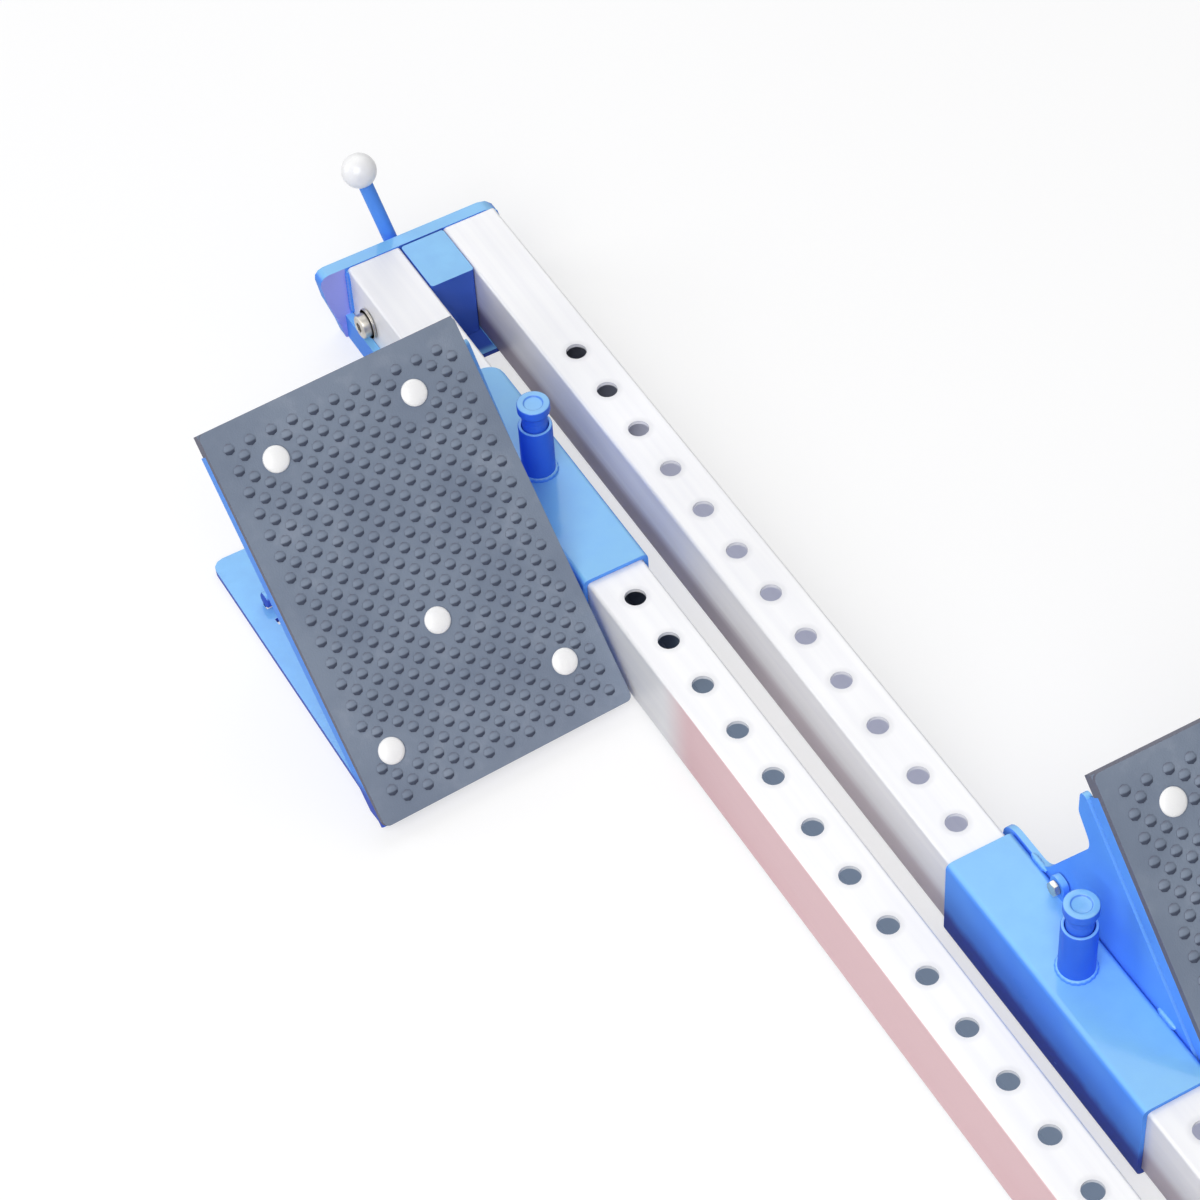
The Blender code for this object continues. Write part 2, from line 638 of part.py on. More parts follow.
def foot_place(tilt):
    """Where the prop's foot stands at this tilt, measured ahead of the hinge."""
    return -2 * PROP_LENGTH * math.cos(tilt)


def knuckles():
    """The hinge's knuckles from inside out as (start, end), with the base plate's first."""
    first = CHEEK_START + CHEEK_THICKNESS + KNUCKLE_SETBACK
    last = CHEEK_START + BASE_WIDTH
    middle = (first + last) / 2
    base = (
        (first, first + KNUCKLE_WIDTH),
        (middle - KNUCKLE_WIDTH / 2, middle + KNUCKLE_WIDTH / 2),
        (last - KNUCKLE_WIDTH, last),
    )
    pedal = [(near[1] + GAP, far[0] - GAP) for near, far in zip(base, base[1:])]
    return base, pedal


def eyes(places, reach, down=False):
    outline = lug(HINGE_DIAMETER / 2, reach, down)
    return together(*[prism(outline, start, end, "X") for start, end in places])


def add_base(side, block, flip, seat, blue, steel):
    start = CHEEK_START
    end = start + BASE_WIDTH
    outline = rounded((
        (start, -BASE_TAIL, PLATE_CORNER),
        (end, -BASE_TAIL, PLATE_CORNER * 3),
        (end, (seat @ Vector((end, BASE_LEAD, 0))).y, PLATE_CORNER),
        (start, (seat @ Vector((start, BASE_LEAD, 0))).y, PLATE_CORNER),
    ))
    base = add(f"{side}_base_plate", prism(outline, 0, BASE_THICKNESS, "Z"), blue, block, flip)
    ears = eyes(knuckles()[0], HINGE_HEIGHT - BASE_THICKNESS / 2, down=True)
    fuse(base, seated(moved(ears, z=HINGE_HEIGHT), seat), flip)
    bore = rod(HINGE_PIN + HINGE_FIT, start - FAR, end + FAR, "X", (0, HINGE_HEIGHT))
    cut(base, seated(bore, seat), flip)
    notches = []
    for step in range(NOTCHES):
        y = foot_place(PEDAL_TILT + step * NOTCH_STEP)
        left = PROP_ARM_START - PROP_FOOT_REACH
        right = PROP_ARM_END + PROP_FOOT_REACH
        slot = rectangle(left, y - NOTCH_WIDTH / 2, right, y + NOTCH_WIDTH / 2)
        notches.append(prism(slot, -FAR, FAR, "Z"))
    cut(base, seated(together(*notches), seat), flip)
    inner = PEDAL_START + PEDAL_SHEET + GAP
    outer = PEDAL_START + PEDAL_WIDTH - PEDAL_SHEET - GAP
    pin = rod(HINGE_PIN, inner, outer, "X", (0, HINGE_HEIGHT))
    add(f"{side}_hinge_pin", seated(pin, seat), steel, block, flip)


# Pedal, about the hinge: X outward, Y down the slope, Z out of the face

def rivet_spots(flip):
    """Both pads are drilled alike, so the left, mirrored, one's places run from its far edge."""
    top = PEDAL_LENGTH - RIVET_TOP
    places = (
        (RIVET_TOP_LEFT, top),
        (PEDAL_WIDTH - RIVET_TOP_RIGHT, top),
        (PEDAL_WIDTH / 2 + RIVET_MIDDLE_SHIFT, RIVET_MIDDLE),
        (RIVET_LOW_LEFT, RIVET_LOW),
        (PEDAL_WIDTH - RIVET_LOW_RIGHT, RIVET_LOW),
    )
    spots = []
    for across, up in places:
        inward = PEDAL_WIDTH - across if flip else across
        spots.append((PEDAL_START + inward, PEDAL_OVERHANG - up))
    return spots


def rivet_holes(flip):
    return together(*[
        rod(RIVET_SHANK + RIVET_FIT, SHEET_BACK - FAR, RUBBER_FACE + FAR, "Z", spot)
        for spot in rivet_spots(flip)
    ])


def add_pedal(side, hinge, flip, blue, rubber, white, steel):
    low = PEDAL_OVERHANG
    high = PEDAL_OVERHANG - PEDAL_LENGTH
    left = PEDAL_START
    right = PEDAL_START + PEDAL_WIDTH
    flange = SHEET_BACK - PEDAL_FLANGE
    channel = rounded((
        (left, flange, 0),
        (left + PEDAL_SHEET, flange, 0),
        (left + PEDAL_SHEET, SHEET_BACK, 0),
        (right - PEDAL_SHEET, SHEET_BACK, 0),
        (right - PEDAL_SHEET, flange, 0),
        (right, flange, 0),
        (right, SHEET_FACE, PEDAL_SHEET * 0.8),
        (left, SHEET_FACE, PEDAL_SHEET * 0.8),
    ))
    plate = add(f"{side}_pad_plate", prism(channel, high, low, "Y"), blue, hinge, flip)
    toe = [
        Vector((low * 0.1, flange - FAR)),
        Vector((low * 0.1, flange - GAP)),
        Vector((low * 0.65, SHEET_BACK - PEDAL_SHEET / 2)),
        Vector((low + FAR, SHEET_BACK - PEDAL_SHEET / 2)),
        Vector((low + FAR, flange - FAR)),
    ]
    cut(plate, prism(toe, left - FAR, right + FAR, "X"), flip)
    reach = SHEET_BACK + PEDAL_SHEET / 2
    fuse(plate, eyes(knuckles()[1], reach), flip)
    ears = (
        (PROP_ARM_START - GAP - PROP_EAR, PROP_ARM_START - GAP),
        (PROP_ARM_END + GAP, PROP_ARM_END + GAP + PROP_EAR),
    )
    fuse(plate, moved(eyes(ears, reach), y=-PROP_LENGTH), flip)
    for y in (0, -PROP_LENGTH):
        bore = rod(HINGE_PIN + HINGE_FIT, left + PEDAL_SHEET + GAP, right - PEDAL_SHEET - GAP, "X", (y, 0))
        cut(plate, bore, flip)
    cut(plate, rivet_holes(flip), flip)

    sheet = prism(rectangle(left, high, right, low, PEDAL_CORNER), RUBBER_BACK, RUBBER_FACE, "Z")
    pad = add(f"{side}_rubber_pad", sheet, rubber, hinge, flip)
    cut(pad, rivet_holes(flip), flip)

    face = RUBBER_FACE + GAP
    back = SHEET_BACK - GAP
    head = RIVET_HEAD / 2
    shape = [
        (0, back - RIVET_TAIL_HEIGHT),
        (RIVET_TAIL * 0.4, back - RIVET_TAIL_HEIGHT),
        (RIVET_TAIL / 2, back),
        (RIVET_SHANK / 2, back),
        (RIVET_SHANK / 2, face),
    ]
    for step in range(DOME_STEPS + 1):
        turn = math.pi / 2 * step / DOME_STEPS
        shape.append((head * math.cos(turn), face + RIVET_DOME * math.sin(turn)))
    for number, spot in enumerate(rivet_spots(flip), 1):
        rivet = moved(turned(shape, SMALL_ROUND), *spot)
        add(f"{side}_pad_rivet_{number}", rivet, white, hinge, flip)

    # Pin that the prop turns on, held by a head at each end
    inner = ears[0][0] - GAP - PROP_PIN_HEAD_HEIGHT
    outer = ears[1][1] + GAP + PROP_PIN_HEAD_HEIGHT
    at = (-PROP_LENGTH, 0)
    pin = rod(HINGE_PIN, inner + GAP, outer - GAP, "X", at)
    pin = add(f"{side}_prop_pin", pin, steel, hinge, flip)
    heads = [
        rod(PROP_PIN_HEAD, start, start + PROP_PIN_HEAD_HEIGHT, "X", at)
        for start in (inner, outer - PROP_PIN_HEAD_HEIGHT)
    ]
    fuse(pin, together(*heads), flip)


def add_prop(side, pivot, flip, blue):
    """The pedal's strut, about its pivot, with its foot at -Y."""
    arm = rounded((
        (-PROP_LENGTH - PROP_ARM_WIDTH / 2, -PROP_ARM_WIDTH / 2, PROP_ARM_WIDTH * 0.48),
        (PROP_ARM_WIDTH / 2, -PROP_ARM_WIDTH / 2, PROP_ARM_WIDTH * 0.48),
        (PROP_ARM_WIDTH / 2, PROP_ARM_WIDTH / 2, PROP_ARM_WIDTH * 0.48),
        (-PROP_LENGTH - PROP_ARM_WIDTH / 2, PROP_ARM_WIDTH / 2, PROP_ARM_WIDTH * 0.48),
    ))
    tube = rod(HINGE_DIAMETER, PROP_ARM_START, PROP_ARM_END, "X", sides=ROUND)
    start = PROP_ARM_START - PROP_FOOT_REACH
    end = PROP_ARM_END + PROP_FOOT_REACH
    foot = rod(FOOT_DIAMETER, start, end, "X", (-PROP_LENGTH, 0), ROUND)
    prop = add(f"{side}_prop", together(tube, foot), blue, pivot, flip)
    inside = GAP * 2
    arms = together(
        prism(arm, PROP_ARM_START + inside, PROP_ARM_START + PROP_ARM, "X"),
        prism(arm, PROP_ARM_END - PROP_ARM, PROP_ARM_END - inside, "X"),
    )
    fuse(prop, arms, flip)
    cut(prop, rod(HINGE_PIN + HINGE_FIT, PROP_ARM_START - FAR, PROP_ARM_END + FAR, "X"), flip)


def add_block(side, way, hole, skew, blue, rubber, white, zinc, steel, knob):
    flip = way < 0
    seat = hinge_seat(skew)
    block = place_empty(f"{side}_block", None, (way * RAIL_SPACING / 2, hole_places()[hole], 0))
    add_sleeve(side, block, flip, blue)
    add_plunger(side, block, flip, knob, steel)
    add_cheek(side, block, flip, seat, blue, zinc)
    add_base(side, block, flip, seat, blue, steel)
    x, y, z = seat @ Vector((0, 0, HINGE_HEIGHT))
    hinge = place_empty(f"{side}_hinge", block, (way * x, y, z), (-PEDAL_TILT, 0, way * skew))
    add_pedal(side, hinge, flip, blue, rubber, white, steel)
    pivot = place_empty(f"{side}_pivot", hinge, (0, -PROP_LENGTH, 0), (2 * PEDAL_TILT, 0, 0))
    add_prop(side, pivot, flip, blue)


def main():
    for obj in list(bpy.data.objects):
        bpy.data.objects.remove(obj)
    blue = finish("blue paint", (0.16, 0.42, 0.92), 0.35, 0.0)
    knob = finish("deep blue paint", (0.05, 0.20, 0.80), 0.35, 0.0)
    metal = finish("rail aluminium", (0.86, 0.85, 0.86), 0.35, 0.9)
    rubber = finish("grey rubber", (0.16, 0.19, 0.24), 0.8, 0.0)
    white = finish("white plastic", (0.9, 0.9, 0.9), 0.4, 0.0)
    zinc = finish("zinc", (0.62, 0.62, 0.60), 0.35, 1.0)
    steel = finish("plain steel", (0.50, 0.50, 0.52), 0.4, 1.0)

    frame = place_empty("frame")
    front = place_empty("front_end", frame, rotation=(0, 0, math.pi))
    add_rail("right_rail", 1, frame, metal)
    add_rail("left_rail", -1, frame, metal)
    add_end("rear", frame, blue, zinc, white)
    add_end("front", front, blue, zinc, white)
    for side, way, hole, skew in BLOCKS:
        add_block(side, way, hole, skew, blue, rubber, white, zinc, steel, knob)


main()
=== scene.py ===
# %% [markdown]
# # Starting blocks
#
# Two punched metal rails lie side by side. A blue bracket with a raked ground pin holds them
# together at each end. A blue block slides on each rail, locks at a hole with a spring plunger
# and carries a rubber-faced pedal that tilts on a hinge.
#
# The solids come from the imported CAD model. This script dresses them: it gives them finishes,
# and it puts finer pieces in the place of those whose edges, rounds or studs a camera would miss.

# %% Load the frame
import math

import bmesh
import bpy
from mathutils import Matrix, Vector


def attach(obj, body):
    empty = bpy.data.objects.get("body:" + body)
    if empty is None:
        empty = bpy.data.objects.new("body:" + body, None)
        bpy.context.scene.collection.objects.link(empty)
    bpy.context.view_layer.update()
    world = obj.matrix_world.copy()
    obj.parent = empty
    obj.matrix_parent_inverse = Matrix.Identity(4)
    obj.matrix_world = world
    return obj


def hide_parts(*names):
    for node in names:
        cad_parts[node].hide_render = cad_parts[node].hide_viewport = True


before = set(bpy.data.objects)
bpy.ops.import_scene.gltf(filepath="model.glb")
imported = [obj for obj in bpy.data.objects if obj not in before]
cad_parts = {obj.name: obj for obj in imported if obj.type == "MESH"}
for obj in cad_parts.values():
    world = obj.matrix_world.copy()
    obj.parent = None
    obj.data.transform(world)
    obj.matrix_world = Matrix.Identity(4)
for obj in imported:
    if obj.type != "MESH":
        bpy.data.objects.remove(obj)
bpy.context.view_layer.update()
print("CAD nodes:", len(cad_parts))

# %% [markdown]
# ## Sizes
#
# The sizes below are those of the real object, in metres. They place every piece that the
# script makes itself. MM turns a size in millimetres into metres. Shapes further down are drawn
# in plain millimetres, and the helpers that make them multiply by MM.

# %% Sizes that several pieces share
MM = 0.001
RAIL_MIDDLE = 26.6 * MM
RAIL_HALF = 14.5 * MM
RAIL_REACH = 396 * MM
RAIL_BOTTOM = 3 * MM
RAIL_TOP = 45 * MM
RAIL_WALL = 2 * MM
FIRST_HOLE = 16.2 * MM
HOLE_PITCH = 30 * MM
HOLES = 10
LAST_HOLE = FIRST_HOLE + HOLE_PITCH * (HOLES - 1)
GAP_HALF = RAIL_MIDDLE - RAIL_HALF
BORE_HALF = RAIL_HALF - RAIL_WALL
BORE_TOP = RAIL_TOP - RAIL_WALL
BOLT_Y = 375.5 * MM
BOLT_Z = 25 * MM
BLOCK_Y = {"right": -226.2 * MM, "left": 136.2 * MM}
HINGE_Y = 103.2 * MM
HINGE_Z = 7.3 * MM
PEDAL_TILT = math.radians(43)
PEDAL_MIDDLE = 82.5 * MM
PEDAL_SKEW = {"right": math.radians(2.9), "left": 0.0}
PROP_LENGTH = 92 * MM
PIN_X = 2 * MM
PIN_Y = -408.9 * MM
PIN_LEAN = math.radians(13)

# %% [markdown]
# ## Places
#
# A piece is drawn where it is easy to draw, and a matrix then takes it to its place on the
# object. The left block is the right one's mirror image, so its matrix has a factor of -1, and
# the front end is the rear one turned half round. The right pedal's hinge is turned about three
# degrees on its base plate, as in the photo. A prop is as long as its pivot is from the pedal's
# hinge, so it leans one way as far as the pedal leans the other: that is twice the tilt.

# %% Matrices for the ends, the blocks and the pedals
def shift(x=0.0, y=0.0, z=0.0):
    return Matrix.Translation((x, y, z))


ENDS = {"rear": Matrix.Identity(4), "front": Matrix.Rotation(math.pi, 4, "Z")}
BLOCKS = {
    "right": shift(RAIL_MIDDLE, BLOCK_Y["right"]),
    "left": shift(-RAIL_MIDDLE, BLOCK_Y["left"]) @ Matrix.Scale(-1, 4, (1, 0, 0)),
}
PINS = {
    end: turn @ shift(PIN_X, PIN_Y) @ Matrix.Rotation(PIN_LEAN, 4, "Y")
    for end, turn in ENDS.items()
}
PEDALS = {}
for side, block in BLOCKS.items():
    turn = Matrix.Rotation(PEDAL_SKEW[side], 4, "Z") @ Matrix.Rotation(-PEDAL_TILT, 4, "X")
    PEDALS[side] = block @ shift(PEDAL_MIDDLE, HINGE_Y, HINGE_Z) @ turn @ shift(-PEDAL_MIDDLE)
PROPS = {
    side: pedal @ shift(0, -PROP_LENGTH) @ Matrix.Rotation(2 * PEDAL_TILT, 4, "X")
    for side, pedal in PEDALS.items()
}
for side, pedal in PEDALS.items():
    print(side, "hinge at", [round(value, 4) for value in pedal.translation])

# %% [markdown]
# ## Shader maths
#
# A finish is a small calculation: clouds and lines of noise are added and multiplied into a
# colour, a roughness and a height. Written as nodes by hand, that is long and hard to read.
# This class wraps a node's output, so that + - * / and abs() on it add the Math nodes. A soft
# step and a mix of two colours are the other two tools that the finishes need.

# %% A socket that can be calculated with
class Socket:
    def __init__(self, tree, output=None):
        self.tree = tree
        self.output = output

    def node(self, kind, settings=None, inputs=None, output=0):
        """Adds a node: its settings are set first, then its inputs, as values or as sockets."""
        made = self.tree.nodes.new(kind)
        for name, value in (settings or {}).items():
            setattr(made, name, value)
        self.fill(made, inputs or {})
        return Socket(self.tree, made.outputs[output])

    def fill(self, node, inputs):
        """Gives a node its inputs: a number is set on the input, a socket is linked to it."""
        for name, value in inputs.items():
            if isinstance(value, Socket):
                self.tree.links.new(value.output, node.inputs[name])
            else:
                node.inputs[name].default_value = value

    def math(self, operation, *values):
        return self.node("ShaderNodeMath", {"operation": operation}, dict(enumerate(values)))

    def __add__(self, other):
        return self.math("ADD", self, other)

    __radd__ = __add__

    def __sub__(self, other):
        return self.math("SUBTRACT", self, other)

    def __rsub__(self, other):
        return self.math("SUBTRACT", other, self)

    def __mul__(self, other):
        return self.math("MULTIPLY", self, other)

    __rmul__ = __mul__

    def __abs__(self):
        return self.math("ABSOLUTE", self)

    def part(self, axis):
        """One of a vector's three parts: X, Y or Z."""
        return self.node("ShaderNodeSeparateXYZ", None, {"Vector": self}, axis)

    def rise(self, start, end):
        """0 before start, 1 past end, and a soft step between; start may be the larger."""
        low, high = min(start, end), max(start, end)
        step = self.node(
            "ShaderNodeMapRange", {"interpolation_type": "SMOOTHSTEP"},
            {"Value": self, "From Min": low, "From Max": high},
        )
        return step if start < end else 1 - step

    def mix(self, first, second):
        """The first colour where this is 0, the second where it is 1."""
        return self.node(
            "ShaderNodeMix", {"data_type": "RGBA"}, {0: self, 6: first, 7: second}, 2
        )


# %% [markdown]
# Every pattern is drawn on Object coordinates. All the pieces sit at the origin unturned, so
# these are metres on the object, and one finish runs on evenly from piece to piece. A Mapping
# node turns the size of a patch in metres into the scale of the noise.

# %% Start a finish, draw noise on it, and wire it up
def colour(red, green, blue):
    """A colour given as screen values from 0 to 255, as the linear values that shaders use."""
    linear = []
    for value in (red / 255, green / 255, blue / 255):
        linear.append(((value + 0.055) / 1.055) ** 2.4 if value > 0.04 else value / 12.92)
    return (*linear, 1.0)


def start_finish(name):
    """A new material, and the socket that gives the place on the object in metres."""
    material = bpy.data.materials.new(name)
    material.use_nodes = True
    place = Socket(material.node_tree).node("ShaderNodeTexCoord", output="Object")
    return material, place


def facing(place):
    """The surface's own normal."""
    return place.node("ShaderNodeTexCoord", output="Normal")


def noise(place, size, detail=2.0, stretch=(1, 1, 1), turn=(0, 0, 0)):
    """Clouds of 0 to 1 whose patches are about this many metres wide, times the stretch."""
    scaled = place.node(
        "ShaderNodeMapping", {"vector_type": "TEXTURE"},
        {"Vector": place, "Rotation": turn, "Scale": [size * factor for factor in stretch]},
    )
    return place.node(
        "ShaderNodeTexNoise", None, {"Vector": scaled, "Scale": 1.0, "Detail": detail}
    )


def end_finish(material, base, rough, height, depth, **others):
    """Gives the shader its colour, its roughness, a bump this deep in metres, and the others."""
    bump = height.node(
        "ShaderNodeBump", None, {"Height": height, "Distance": depth, "Strength": 1.0}
    )
    inputs = {"Base Color": base, "Roughness": rough, "Normal": bump}
    inputs.update({name.replace("_", " "): value for name, value in others.items()})
    height.fill(material.node_tree.nodes["Principled BSDF"], inputs)
    print("finish", material.name, "has", len(material.node_tree.nodes), "nodes")
    return material


# %% [markdown]
# ## Blue paint
#
# The steel plates are covered in a glossy blue powder coat. Powder melts and levels out, but
# not quite flat: close up it has the dimples of orange peel. Large soft clouds change the
# colour a little, as the coat is thicker in some places, and a few fine scuffs are paler and
# duller. Faces that look up are mixed towards a sky blue by the Z of their own normal: that
# is a painted reflection, the pale sheen of bright surroundings on the tops. Low on the blocks,
# and in the nook between the rails at each end, painted shade makes the paint navy, and the rear
# bracket's ear has a lavender tint of painted reflected light. Each of these is a mask, the
# product of a few soft steps of the place: 1 there and 0 elsewhere. The gloss is all in the
# coat over the paint, which is worn thin on the upright faces. The knobs and tubes have the
# same coat in a deeper blue.

# %% Powder coat in two blues
# Painted shade turns the paint navy; painted reflected light gives the lavender tint.
NAVY = colour(62, 76, 186)
LAVENDER = colour(178, 182, 255)
BRACKET_FROM = 350 * MM
LOW_SHADE_TOP = 20 * MM
EAR_X = 42 * MM
EAR_Y = -380 * MM


def powder_coat(name, deep, light, painted_top_reflection, scuff, thin):
    """Five tones over each other; thin is how much coat is left on the upright faces."""
    material, place = start_finish(name)
    clouds = noise(place, 45 * MM)
    peel = noise(place, 1.6 * MM, 1.0)
    grit = noise(place, 9 * MM, 6.0)
    scratches = noise(place, 2.5 * MM, 2.0, (1, 14, 1), (0.3, 0.2, 0.5)).rise(0.70, 0.78)
    worn = scratches * noise(place, 30 * MM).rise(0.52, 0.66)
    x, y, z = [place.part(axis) for axis in "XYZ"]
    from_middle = abs(y)
    at_bracket = from_middle.rise(BRACKET_FROM - 2 * MM, BRACKET_FROM + 2 * MM)
    # Painted shade: the paint turns navy low down, away from the brackets.
    low = (z + (grit - 0.5) * 5 * MM).rise(LOW_SHADE_TOP, LOW_SHADE_TOP - 8 * MM) * (1 - at_bracket)
    # Painted shade in the nook between the rails at each end.
    nook_shade = at_bracket * from_middle.rise(RAIL_REACH + 1 * MM, RAIL_REACH)
    nook_shade = nook_shade * abs(x).rise(GAP_HALF + 0.4 * MM, GAP_HALF + 0.1 * MM)
    # Painted reflection: faces that look up are mixed towards a pale sky blue.
    facing_up = facing(place).part("Z").rise(0.5, 0.95)
    facing_up = facing_up * (1 - nook_shade * z.rise(30 * MM, 25 * MM))
    # Painted reflected light: a lavender tint on the front face of the rear bracket's ear.
    ear = x.rise(EAR_X, EAR_X + 1 * MM) * y.rise(EAR_Y, EAR_Y - 6 * MM)
    ear = ear * facing(place).part("Y").rise(0.3, 0.8)
    paint = (ear * 0.95).mix(clouds.rise(0.3, 0.7).mix(deep, light), LAVENDER)
    paint = (low * 0.85 + nook_shade * 0.7).mix(paint, NAVY)
    base = (worn * 0.5).mix((facing_up * (0.8 + grit * 0.3)).mix(paint, painted_top_reflection), scuff)
    rough = 0.24 + clouds * 0.10 + grit.rise(0.5, 0.75) * 0.06 + worn * 0.25
    height = peel + grit * 0.3 - worn * 0.4
    coat = thin + facing_up * (0.8 - thin)
    return end_finish(
        material, base, rough, height, 0.05 * MM, IOR=1.03, Coat_Roughness=0.12, Coat_Weight=coat,
    )


BLUE = powder_coat(
    "blue_powder_coat", deep=colour(90, 154, 255), light=colour(100, 164, 255),
    painted_top_reflection=colour(138, 205, 255), scuff=colour(140, 190, 255), thin=0.12,
)
DEEP_BLUE = powder_coat(
    "deep_blue_powder_coat", deep=colour(54, 108, 234), light=colour(66, 122, 244),
    painted_top_reflection=colour(140, 204, 255), scuff=colour(110, 160, 250), thin=0.3,
)

# %% [markdown]
# ## Rail metal
#
# The rails are drawn aluminium tube. The die leaves very fine lines along the whole length, so
# the noise is stretched a hundred times along Y. The sleeves slide on the rails and add longer
# scratches. The punch presses the metal down a little round each hole, which the bump shows,
# and a faint grey ring of painted shade darkens the metal there: the distance to the nearest
# hole is worked out from the pitch, and a soft step of it makes the ring. The right rail's
# outer side is rosy towards the front, where the metal mirrored something red in the studio.
# Low in the gap between the rails the metal is darkened by painted shade, darker towards the
# rear, where the right block stands. The bore of the tube is darkened by painted shade too.
# Light leaks along the tubes, so most holes are grey inside and only the first two of each row
# are dark; a weak glow inside the tube stands for it.

# %% Drawn aluminium with pressed rings round the holes, and painted shade in the gap and bore
ROSE = colour(227, 180, 186)
# Three tones of painted shade: low in the gap, darker near the right block, and inside the bore.
GAP_SHADE = colour(206, 192, 200)
BLOCK_SHADOW = colour(140, 126, 146)
BORE_SHADE = colour(150, 160, 182)
NO_GLOW = (0, 0, 0, 1)
LEFT_GLOW = (0.12, 0.12, 0.14, 1)
RIGHT_GLOW = (0.09, 0.11, 0.13, 1)
LEFT_LEAK = (-272 * MM, -238 * MM)
RIGHT_LEAK = (-126 * MM, -100 * MM)
ROSY_FROM = -76 * MM
RING = (8.2 * MM, 5.2 * MM)


def drawn_metal():
    """Lines, scratches, shaded rings, rosy side, painted gap and bore shade, and glow of a rail.
    """
    material, place = start_finish("drawn_aluminium")
    lines = noise(place, 0.7 * MM, 2.0, (1, 120, 1))
    streaks = noise(place, 5 * MM, 3.0, (1, 40, 1))
    smudges = noise(place, 28 * MM, 4.0, (1, 2.5, 1))
    scratches = noise(place, 1.3 * MM, 1.0, (1, 60, 1), (0, 0, 0.02)).rise(0.69, 0.74)
    x, y, z = [place.part(axis) for axis in "XYZ"]
    along = abs(y) - (FIRST_HOLE - HOLE_PITCH / 2)
    along = along.math("MODULO", along, HOLE_PITCH) - HOLE_PITCH / 2
    across = abs(x) - RAIL_MIDDLE
    away = across.math("SQRT", along * along + across * across)
    # Painted shade: a faint grey ring round each hole, where the bump also sinks the metal.
    ring = away.rise(*RING) * z.rise(RAIL_TOP - 1 * MM, RAIL_TOP - 0.2 * MM)
    ring = ring * abs(y).rise(LAST_HOLE + 10 * MM, LAST_HOLE + 9 * MM)
    patches = streaks.rise(0.35, 0.7) * 0.6 + smudges * 0.4
    tone = patches.mix(colour(249, 249, 250), colour(240, 240, 244))
    right_rail = x.rise(-1 * MM, 1 * MM)
    outer = right_rail * across.rise(RAIL_HALF - 0.5 * MM, RAIL_HALF - 0.2 * MM)
    rosy = outer * y.rise(ROSY_FROM - 14 * MM, ROSY_FROM + 14 * MM)
    # Painted shade low in the gap between the rails, darker towards the rear where the right block
    # stands.
    gap_shade = abs(x).rise(GAP_HALF + 0.5 * MM, GAP_HALF + 0.2 * MM)
    gap_shade = gap_shade * (z + (streaks - 0.5) * 6 * MM).rise(24 * MM, 13 * MM)
    gap_shade_tone = y.rise(-150 * MM, -60 * MM).mix(BLOCK_SHADOW, GAP_SHADE)
    tone = (gap_shade * 0.9).mix((rosy * 0.85).mix(tone, ROSE), gap_shade_tone)
    # Painted shade inside the bore; the glow below stands for light leaking along the tube.
    inside = abs(across).rise(BORE_HALF + 0.4 * MM, BORE_HALF + 0.1 * MM)
    inside = inside * z.rise(BORE_TOP + 0.1 * MM, BORE_TOP - 0.1 * MM)
    tone = (inside * (0.4 + right_rail * 0.5)).mix(tone, BORE_SHADE)
    base = (ring * 0.2).mix(tone, colour(160, 162, 170))
    rough = 0.34 + lines * 0.10 + smudges.rise(0.4, 0.7) * 0.10 - scratches * 0.08
    height = lines * 0.6 + streaks * 0.2 - scratches * 0.6 - ring * 2.0
    leak = right_rail * y.rise(*RIGHT_LEAK) + (1 - right_rail) * y.rise(*LEFT_LEAK)
    glow = (inside * leak).mix(NO_GLOW, right_rail.mix(LEFT_GLOW, RIGHT_GLOW))
    return end_finish(
        material, base, rough, height, 0.02 * MM, Metallic=0.12, Emission_Strength=1.0,
        Emission_Color=glow,
    )


RAIL_METAL = drawn_metal()

# %% [markdown]
# ## Rubber
#
# The pads are moulded grey rubber. The mould was blasted, so the skin is evenly grainy. Dust
# settles in soft patches and makes the rubber paler and duller. Painted shade darkens the
# lower side of every stud: on a pad that leans by 43 degrees, these faces are those whose
# normal points more along Y than up. Painted shade also makes the pad's upper edge and its
# sides a dark brownish grey.

# %% Moulded rubber with dust
def moulded_rubber():
    material, place = start_finish("moulded_rubber")
    grain = noise(place, 0.8 * MM, 3.0)
    clouds = noise(place, 38 * MM, 3.0)
    dust = noise(place, 11 * MM, 6.0).rise(0.48, 0.72) * clouds.rise(0.35, 0.65)
    tone = clouds.rise(0.3, 0.7).mix(colour(117, 129, 149), colour(129, 141, 160))
    tone = (dust * 0.4).mix(tone, colour(158, 167, 184))
    normal = facing(place)
    downhill = normal.part("Y") - normal.part("Z")
    # Painted shade on the lower side of every stud.
    tone = (downhill.rise(0.0, 0.3) * 0.95).mix(tone, colour(52, 60, 80))
    # Painted shade on the pad's sides and its upper edge.
    sideways = abs(normal.part("X")).rise(0.5, 0.9)
    edge = sideways.math("MAXIMUM", sideways, downhill.rise(-0.4, -1.0))
    base = (edge * 0.7).mix(tone, colour(84, 78, 92))
    rough = 0.62 + grain * 0.12 + dust * 0.15
    return end_finish(material, base, rough, grain + dust * 0.3, 0.12 * MM)


RUBBER = moulded_rubber()

# %% [markdown]
# ## White plastic and bare metals
#
# The ball on each ground pin is white moulded plastic, with a faint unevenness where it cooled.
# The rivets are bright aluminium that was pressed smooth. The bolts are zinc-plated, which
# gives a warm, cloudy grey, and the hinge pins and the plungers are plain turned steel.

